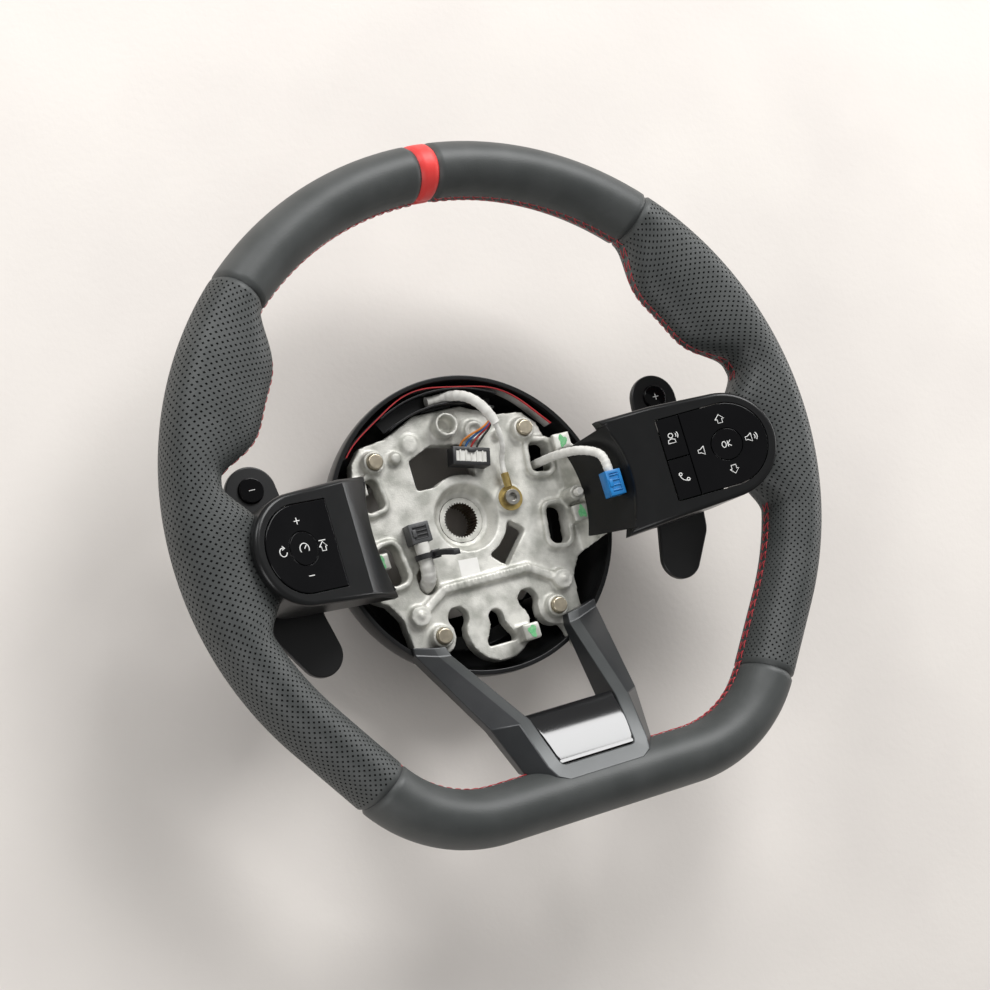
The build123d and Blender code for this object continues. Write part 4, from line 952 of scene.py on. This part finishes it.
# Switch insides. A circuit board, a silicone mat with a dome under each press point, and a gimbal ring that
# lets the pad tilt four ways.
board_green = mottled("board_lacquer", (0.010, 0.075, 0.030), (0.008, 0.055, 0.022),
                      patch=0.01, rough=0.35, grain=0.001, depth=0.00003)
silicone = mottled("silicone_mat", (0.30, 0.31, 0.32), (0.25, 0.26, 0.27),
                   patch=0.008, rough=0.6, grain=0.0006, depth=0.00003)
for side in ("left", "right"):
    refinish(side + "_switch_board", board_green)
    refinish(side + "_dome_mat", silicone)
    refinish(side + "_rocker_frame", nylon_grey)


# Rocker pads, buttons and keys. Gloss black caps moulded with a small edge radius and printed with plain
# white signs: plus and minus, arrows, horns, a gauge, OK, a voice sign and a handset.
PAD_X = 0.1245
PAD_Z = 0.086
FACE_TILT = radians(18)
PAD_PROUD = 0.0006
BUTTON_PROUD = 0.0008
SIGN_RADIUS = 0.00025
SIGN_REACH = 14.0
ARC_STEP = 15
ARC_LEAST = 6
KEY_X = -27.6
KEY_Y = 11.0


def face_point(sign, right, up, proud):
    """A place on a switch face, right and up as the driver sees it from the pad's middle."""
    out = sign * right
    x = PAD_X + out * cos(FACE_TILT) - proud * sin(FACE_TILT)
    return Vector((sign * x, SPOKE_Y + up, PAD_Z + out * sin(FACE_TILT) + proud * cos(FACE_TILT)))


def ring_points(right, up, radius, start, end, tall=1.0):
    """Points along an arc, in degrees, in the plane of a switch face."""
    steps = max(ARC_LEAST, round(abs(end - start) / ARC_STEP))
    turns = [radians(start + (end - start) * step / steps) for step in range(steps + 1)]
    return [(right + radius * cos(turn), up + radius * tall * sin(turn)) for turn in turns]


def moved(points, right, up, flip=1):
    """A sign's points set at a place, upside down when flipped."""
    return [(right + x, up + flip * y) for x, y in points]


def printed_signs(name, sign, proud, strokes, body):
    """White signs on a switch face, in millimetres from the pad's middle."""
    printed = [[face_point(sign, x / 1000, y / 1000, proud) for x, y in stroke] for stroke in strokes]
    settle(stroke_set(name, printed, repeat(SIGN_RADIUS), white_print, 2), body, "white_plastic")


ARROW = [(-2.5, 0), (0, 2.5), (2.5, 0), (1.3, 0), (1.3, -2.1), (-1.3, -2.1), (-1.3, 0), (-2.5, 0)]
HORN = [(1.1, 2.3), (1.1, -2.3), (-1.0, -0.9), (-2.3, -0.9), (-2.3, 0.9), (-1.0, 0.9), (1.1, 2.3)]
BAR = [(-1.7, 0), (1.7, 0)]
POST = [(0, -1.7), (0, 1.7)]
ARROW_HEAD = [(0, 3.2), (1.4, 1.9), (-0.4, 1.2)]
SHOULDERS = [(-2.9, -2.6), (-2.6, -0.9), (-0.8, -0.3), (1.0, -0.9), (1.3, -2.6), (-2.9, -2.6)]
VOICE = [ring_points(-0.8, 1.5, 1.25, 0, 360), SHOULDERS,
         ring_points(0.8, 1.2, 1.4, -40, 40), ring_points(0.8, 1.2, 2.5, -40, 40)]
HANDSET = [ring_points(2.0, 2.0, 4.2, 175, 275), ring_points(-1.6, 1.9, 0.8, 0, 360),
           ring_points(1.9, -1.6, 0.8, 0, 360)]
right_pad_signs = [moved(ARROW, 0, SIGN_REACH), moved(ARROW, 0, -SIGN_REACH, -1), moved(HORN, -SIGN_REACH, 0),
                   moved(HORN, SIGN_REACH - 1, 0), ring_points(SIGN_REACH + 0.6, 0, 1.5, -50, 50),
                   ring_points(SIGN_REACH + 0.6, 0, 2.7, -45, 45)]
left_pad_signs = [moved(BAR, 0, SIGN_REACH), moved(POST, 0, SIGN_REACH), moved(BAR, 0, -SIGN_REACH),
                  ring_points(1 - SIGN_REACH, 0, 2.2, 60, 350), moved(ARROW_HEAD, 1 - SIGN_REACH, 0),
                  [(SIGN_REACH - 4.2, 2.2), (SIGN_REACH, 2.2)], moved(ARROW, SIGN_REACH - 2.1, -1.0)]
left_button_signs = [ring_points(0, -0.3, 2.8, -30, 210), [(0, -0.3), (1.5, 1.3)]]
right_button_signs = [ring_points(-1.6, 0, 1.15, 0, 360, 1.4), [(0.5, -1.6), (0.5, 1.6)],
                      [(2.2, 1.6), (0.5, 0), (2.2, -1.6)]]
for side, sign, pad_signs, button_signs in (("left", -1, left_pad_signs, left_button_signs),
                                            ("right", 1, right_pad_signs, right_button_signs)):
    pad, button = side + "_rocker_pad", side + "_centre_button"
    dress(pad, side + "_gloss_pad", pad, "gloss_black", gloss_black, edge=0.00022, segments=2)
    dress(button, side + "_gloss_button", button, "gloss_black", gloss_black, edge=0.0003)
    printed_signs(side + "_pad_signs", sign, PAD_PROUD, pad_signs, pad)
    printed_signs(side + "_button_sign", sign, BUTTON_PROUD, button_signs, button)
for key, strokes, key_y in (("voice", VOICE, KEY_Y), ("phone", HANDSET, -KEY_Y)):
    dress(key + "_key", key + "_cap", key + "_key", "gloss_black", gloss_black, edge=0.0003)
    key_signs = [moved(stroke, KEY_X, key_y) for stroke in strokes]
    printed_signs(key + "_sign", 1, PAD_PROUD, key_signs, key + "_key")


# Lower spoke. A frame in the form of a U, moulded in dark grey satin plastic with a skirt outside, clips over
# the two legs of the casting; a paler band round its opening is a painted highlight along that edge. A gloss
# black plate, pressed to a curve, closes its foot.
TRIM_SIDE = [((0.0375, -0.0655), (0.0445, -0.0645), (0.0560, -0.0615)),
             ((0.0362, -0.0712), (0.0430, -0.0700), (0.0560, -0.0660)),
             ((0.0255, -0.1155), (0.0325, -0.1160), (0.0438, -0.1145)),
             ((0.0219, -0.1395), (0.0292, -0.1410), (0.0380, -0.1400)),
             ((0.0210, -0.1410), (0.0268, -0.1468), (0.0330, -0.1475)),
             ((0.0195, -0.1416), (0.0215, -0.1498), (0.0240, -0.1520))]
TRIM_FRONT = [(-0.060, 0.018), (-0.0695, 0.018), (-0.116, 0.070), (-0.141, 0.0825), (-0.152, 0.0895)]
TRIM_INNER_DROP = (0.007, 0.009, 0.023, 0.012, 0.008, 0.008)
TRIM_OUTER_DROP = (0.0, 0.0, 0.010, 0.012, 0.007, 0.006)
TRIM_SKIRT = (0.007, 0.011, 0.009, 0.008, 0.005, 0.003)
TRIM_SKIRT_INSET = 0.0005
TRIM_FACES = 5
HIGHLIGHT_FACE = 1
TRIM_EDGE = 0.0007
TRIM_EDGE_FROM = radians(24)
PLATE_TOP, PLATE_END = -0.1125, -0.1408
PLATE_HALVES = (0.0258, 0.0216)
PLATE_SLOPES = (0.98, 0.22)
PLATE_END_Z = 0.0815
PLATE_SHEET = 0.0018
PLATE_EDGE_FROM = radians(50)
PLATE_ROWS = 60
PLATE_COLUMNS = 40
PLATE_LIP = 0.95
PLATE_LIP_RISE = 0.34


def trim_front(y):
    """Height of the lower spoke's front at a place along it."""
    for (y0, z0), (y1, z1) in zip(TRIM_FRONT, TRIM_FRONT[1:]):
        if y >= y1:
            break
    return z0 + (z1 - z0) * (y - y0) / (y1 - y0)


def trim_ring(station, sign):
    """Points round the frame's section at a station: back, front, band, outside, skirt and back again."""
    (ix, iy), (bx, by), (ox, oy) = TRIM_SIDE[station]
    back = (sign * ix, iy, trim_front(iy) - TRIM_INNER_DROP[station])
    front = (sign * ix, iy, trim_front(iy))
    band = (sign * bx, by, trim_front(by))
    outside = (sign * ox, oy, trim_front(oy) - TRIM_OUTER_DROP[station])
    skirt = (sign * (ox - TRIM_SKIRT_INSET), oy, outside[2] - TRIM_SKIRT[station])
    return [back, front, band, outside, skirt, back]


grey_trim = mottled("grey_trim", (0.030, 0.032, 0.034), (0.024, 0.026, 0.028),
                    patch=0.02, rough=0.32, grain=0.00035, depth=0.00001, metal=0.2)
# A paler grey painted on the face along the opening's edge, standing in for the highlight that light draws
# there.
painted_highlight_band = mottled("painted_highlight_band", (0.062, 0.066, 0.067), (0.054, 0.058, 0.059),
                    patch=0.02, rough=0.36, grain=0.00035, depth=0.00001, metal=0.2)
mirror_black = mottled("mirror_black", GLOSS_BLACK, GLOSS_DARK,
                       patch=0.02, rough=0.11, grain=0.004, depth=0.000003, gloss=0.9)
stations = range(len(TRIM_SIDE))
trim_rings = [trim_ring(station, 1) for station in stations]
trim_rings += [trim_ring(station, -1) for station in reversed(stations)]
last_ring = len(trim_rings) - 1
clear_selection()
bpy.ops.mesh.primitive_grid_add(x_subdivisions=last_ring, y_subdivisions=TRIM_FACES, size=1)
trim = bpy.context.object
trim.name = "spoke_frame"
trim.data.materials.append(grey_trim)
trim.data.materials.append(painted_highlight_band)
# The face from the frame's front edge to the band point takes the painted highlight.
for face in trim.data.polygons:
    face.material_index = 1 if int((face.center.y + 0.5) * TRIM_FACES) == HIGHLIGHT_FACE else 0
for vertex in trim.data.vertices:
    ring = trim_rings[round((vertex.co.x + 0.5) * last_ring)]
    vertex.co = ring[round((vertex.co.y + 0.5) * TRIM_FACES)]
edit_all(trim)
bpy.ops.mesh.remove_doubles(threshold=MERGE_GAP)
bpy.ops.mesh.fill_holes(sides=0)
turn_outwards()
apply_modifier(trim, "BEVEL", width=TRIM_EDGE, segments=3, limit_method="ANGLE", angle_limit=TRIM_EDGE_FROM)
soften(CREASE)
apply_modifier(trim, "WEIGHTED_NORMAL", keep_sharp=True)
settle(trim, "wheel", "grey_trim", "lower_spoke_trim")

clear_selection()
bpy.ops.mesh.primitive_grid_add(x_subdivisions=PLATE_COLUMNS, y_subdivisions=PLATE_ROWS, size=1)
plate = bpy.context.object
plate.name = "spoke_plate"
plate_length = PLATE_TOP - PLATE_END
slope_change = PLATE_SLOPES[0] - PLATE_SLOPES[1]
for vertex in plate.data.vertices:
    down = 0.5 - vertex.co.y
    lip = PLATE_LIP_RISE * max(0, down - PLATE_LIP)
    drop = (1 - down) * (PLATE_SLOPES[1] + slope_change * (1 - down) / 2) - lip
    half = PLATE_HALVES[0] + (PLATE_HALVES[1] - PLATE_HALVES[0]) * down
    vertex.co = (2 * half * vertex.co.x, PLATE_TOP - plate_length * down, PLATE_END_Z - plate_length * drop)
plate.data.materials.append(mirror_black)
apply_modifier(plate, "SOLIDIFY", thickness=PLATE_SHEET, offset=-1)
apply_modifier(plate, "BEVEL", width=PLATE_SHEET / 6, segments=2,
               limit_method="ANGLE", angle_limit=PLATE_EDGE_FROM)
soften(FINE_CREASE)
apply_modifier(plate, "WEIGHTED_NORMAL", keep_sharp=True)
settle(plate, "wheel", "gloss_black", "lower_spoke_insert")


# Floor, lights and camera. A pale table top, one large soft lamp behind the wheel, weaker ones on its left
# and a low strip lamp on its right, and the viewpoint of a person looking down on the wheel from its left.
FLOOR_SIZE = 6
LAMP_TARGET = Vector((0, 0, 0.05))
SKY_STRENGTH = 0.29
CAMERA_LENS = 80
CAMERA_SENSOR = 36
CAMERA_REACH = 20
CAMERA_PLACE = (-0.4962, -0.1113, 1.0982)
CAMERA_RIGHT = (0.8785, -0.2823, 0.3854)
CAMERA_UP = (0.2160, 0.9543, 0.2068)
CAMERA_BACK = (-0.4261, -0.0985, 0.8993)

table_paint = mottled("table_paint", (0.70, 0.66, 0.62), (0.66, 0.62, 0.585),
                      patch=0.12, rough=0.75, grain=0.004, depth=0.0002)
bpy.ops.mesh.primitive_plane_add(size=FLOOR_SIZE, location=(0, 0, cad_box[0][2]))
floor = bpy.context.object
floor.name = "table_top"
floor.data.materials.append(table_paint)


def soft_lamp(name, place, width, height, power):
    """An area lamp that faces the wheel."""
    data = bpy.data.lights.new(name, "AREA")
    data.shape = "RECTANGLE"
    data.size = width
    data.size_y = height
    data.energy = power
    lamp = add_object(name, data)
    lamp.location = place
    lamp.rotation_euler = (LAMP_TARGET - Vector(place)).to_track_quat("-Z", "Y").to_euler()


soft_lamp("back_lamp", (0.99, 1.50, 1.50), width=1.35, height=1.35, power=57)
soft_lamp("left_lamp", (-1.25, -0.80, 0.90), width=0.9, height=0.9, power=9)
soft_lamp("far_lamp", (-0.75, 1.25, 0.95), width=0.7, height=0.7, power=11)
soft_lamp("low_lamp", (1.55, 0.15, 0.30), width=1.0, height=0.24, power=7)
world = bpy.data.worlds.new("studio")
bpy.context.scene.world = world
world.use_nodes = True
sky = world.node_tree.nodes["Background"]
sky.inputs["Color"].default_value = (1, 1, 1, 1)
sky.inputs["Strength"].default_value = SKY_STRENGTH

camera_data = bpy.data.cameras.new("camera")
camera_data.lens = CAMERA_LENS
camera_data.sensor_width = CAMERA_SENSOR
camera_data.clip_end = CAMERA_REACH
camera = add_object("camera", camera_data)
camera_turn = Matrix((CAMERA_RIGHT, CAMERA_UP, CAMERA_BACK)).transposed()
camera.matrix_world = Matrix.Translation(CAMERA_PLACE) @ camera_turn.to_4x4()
bpy.context.scene.camera = camera
bpy.context.scene.view_settings.view_transform = "Standard"

bpy.context.view_layer.update()
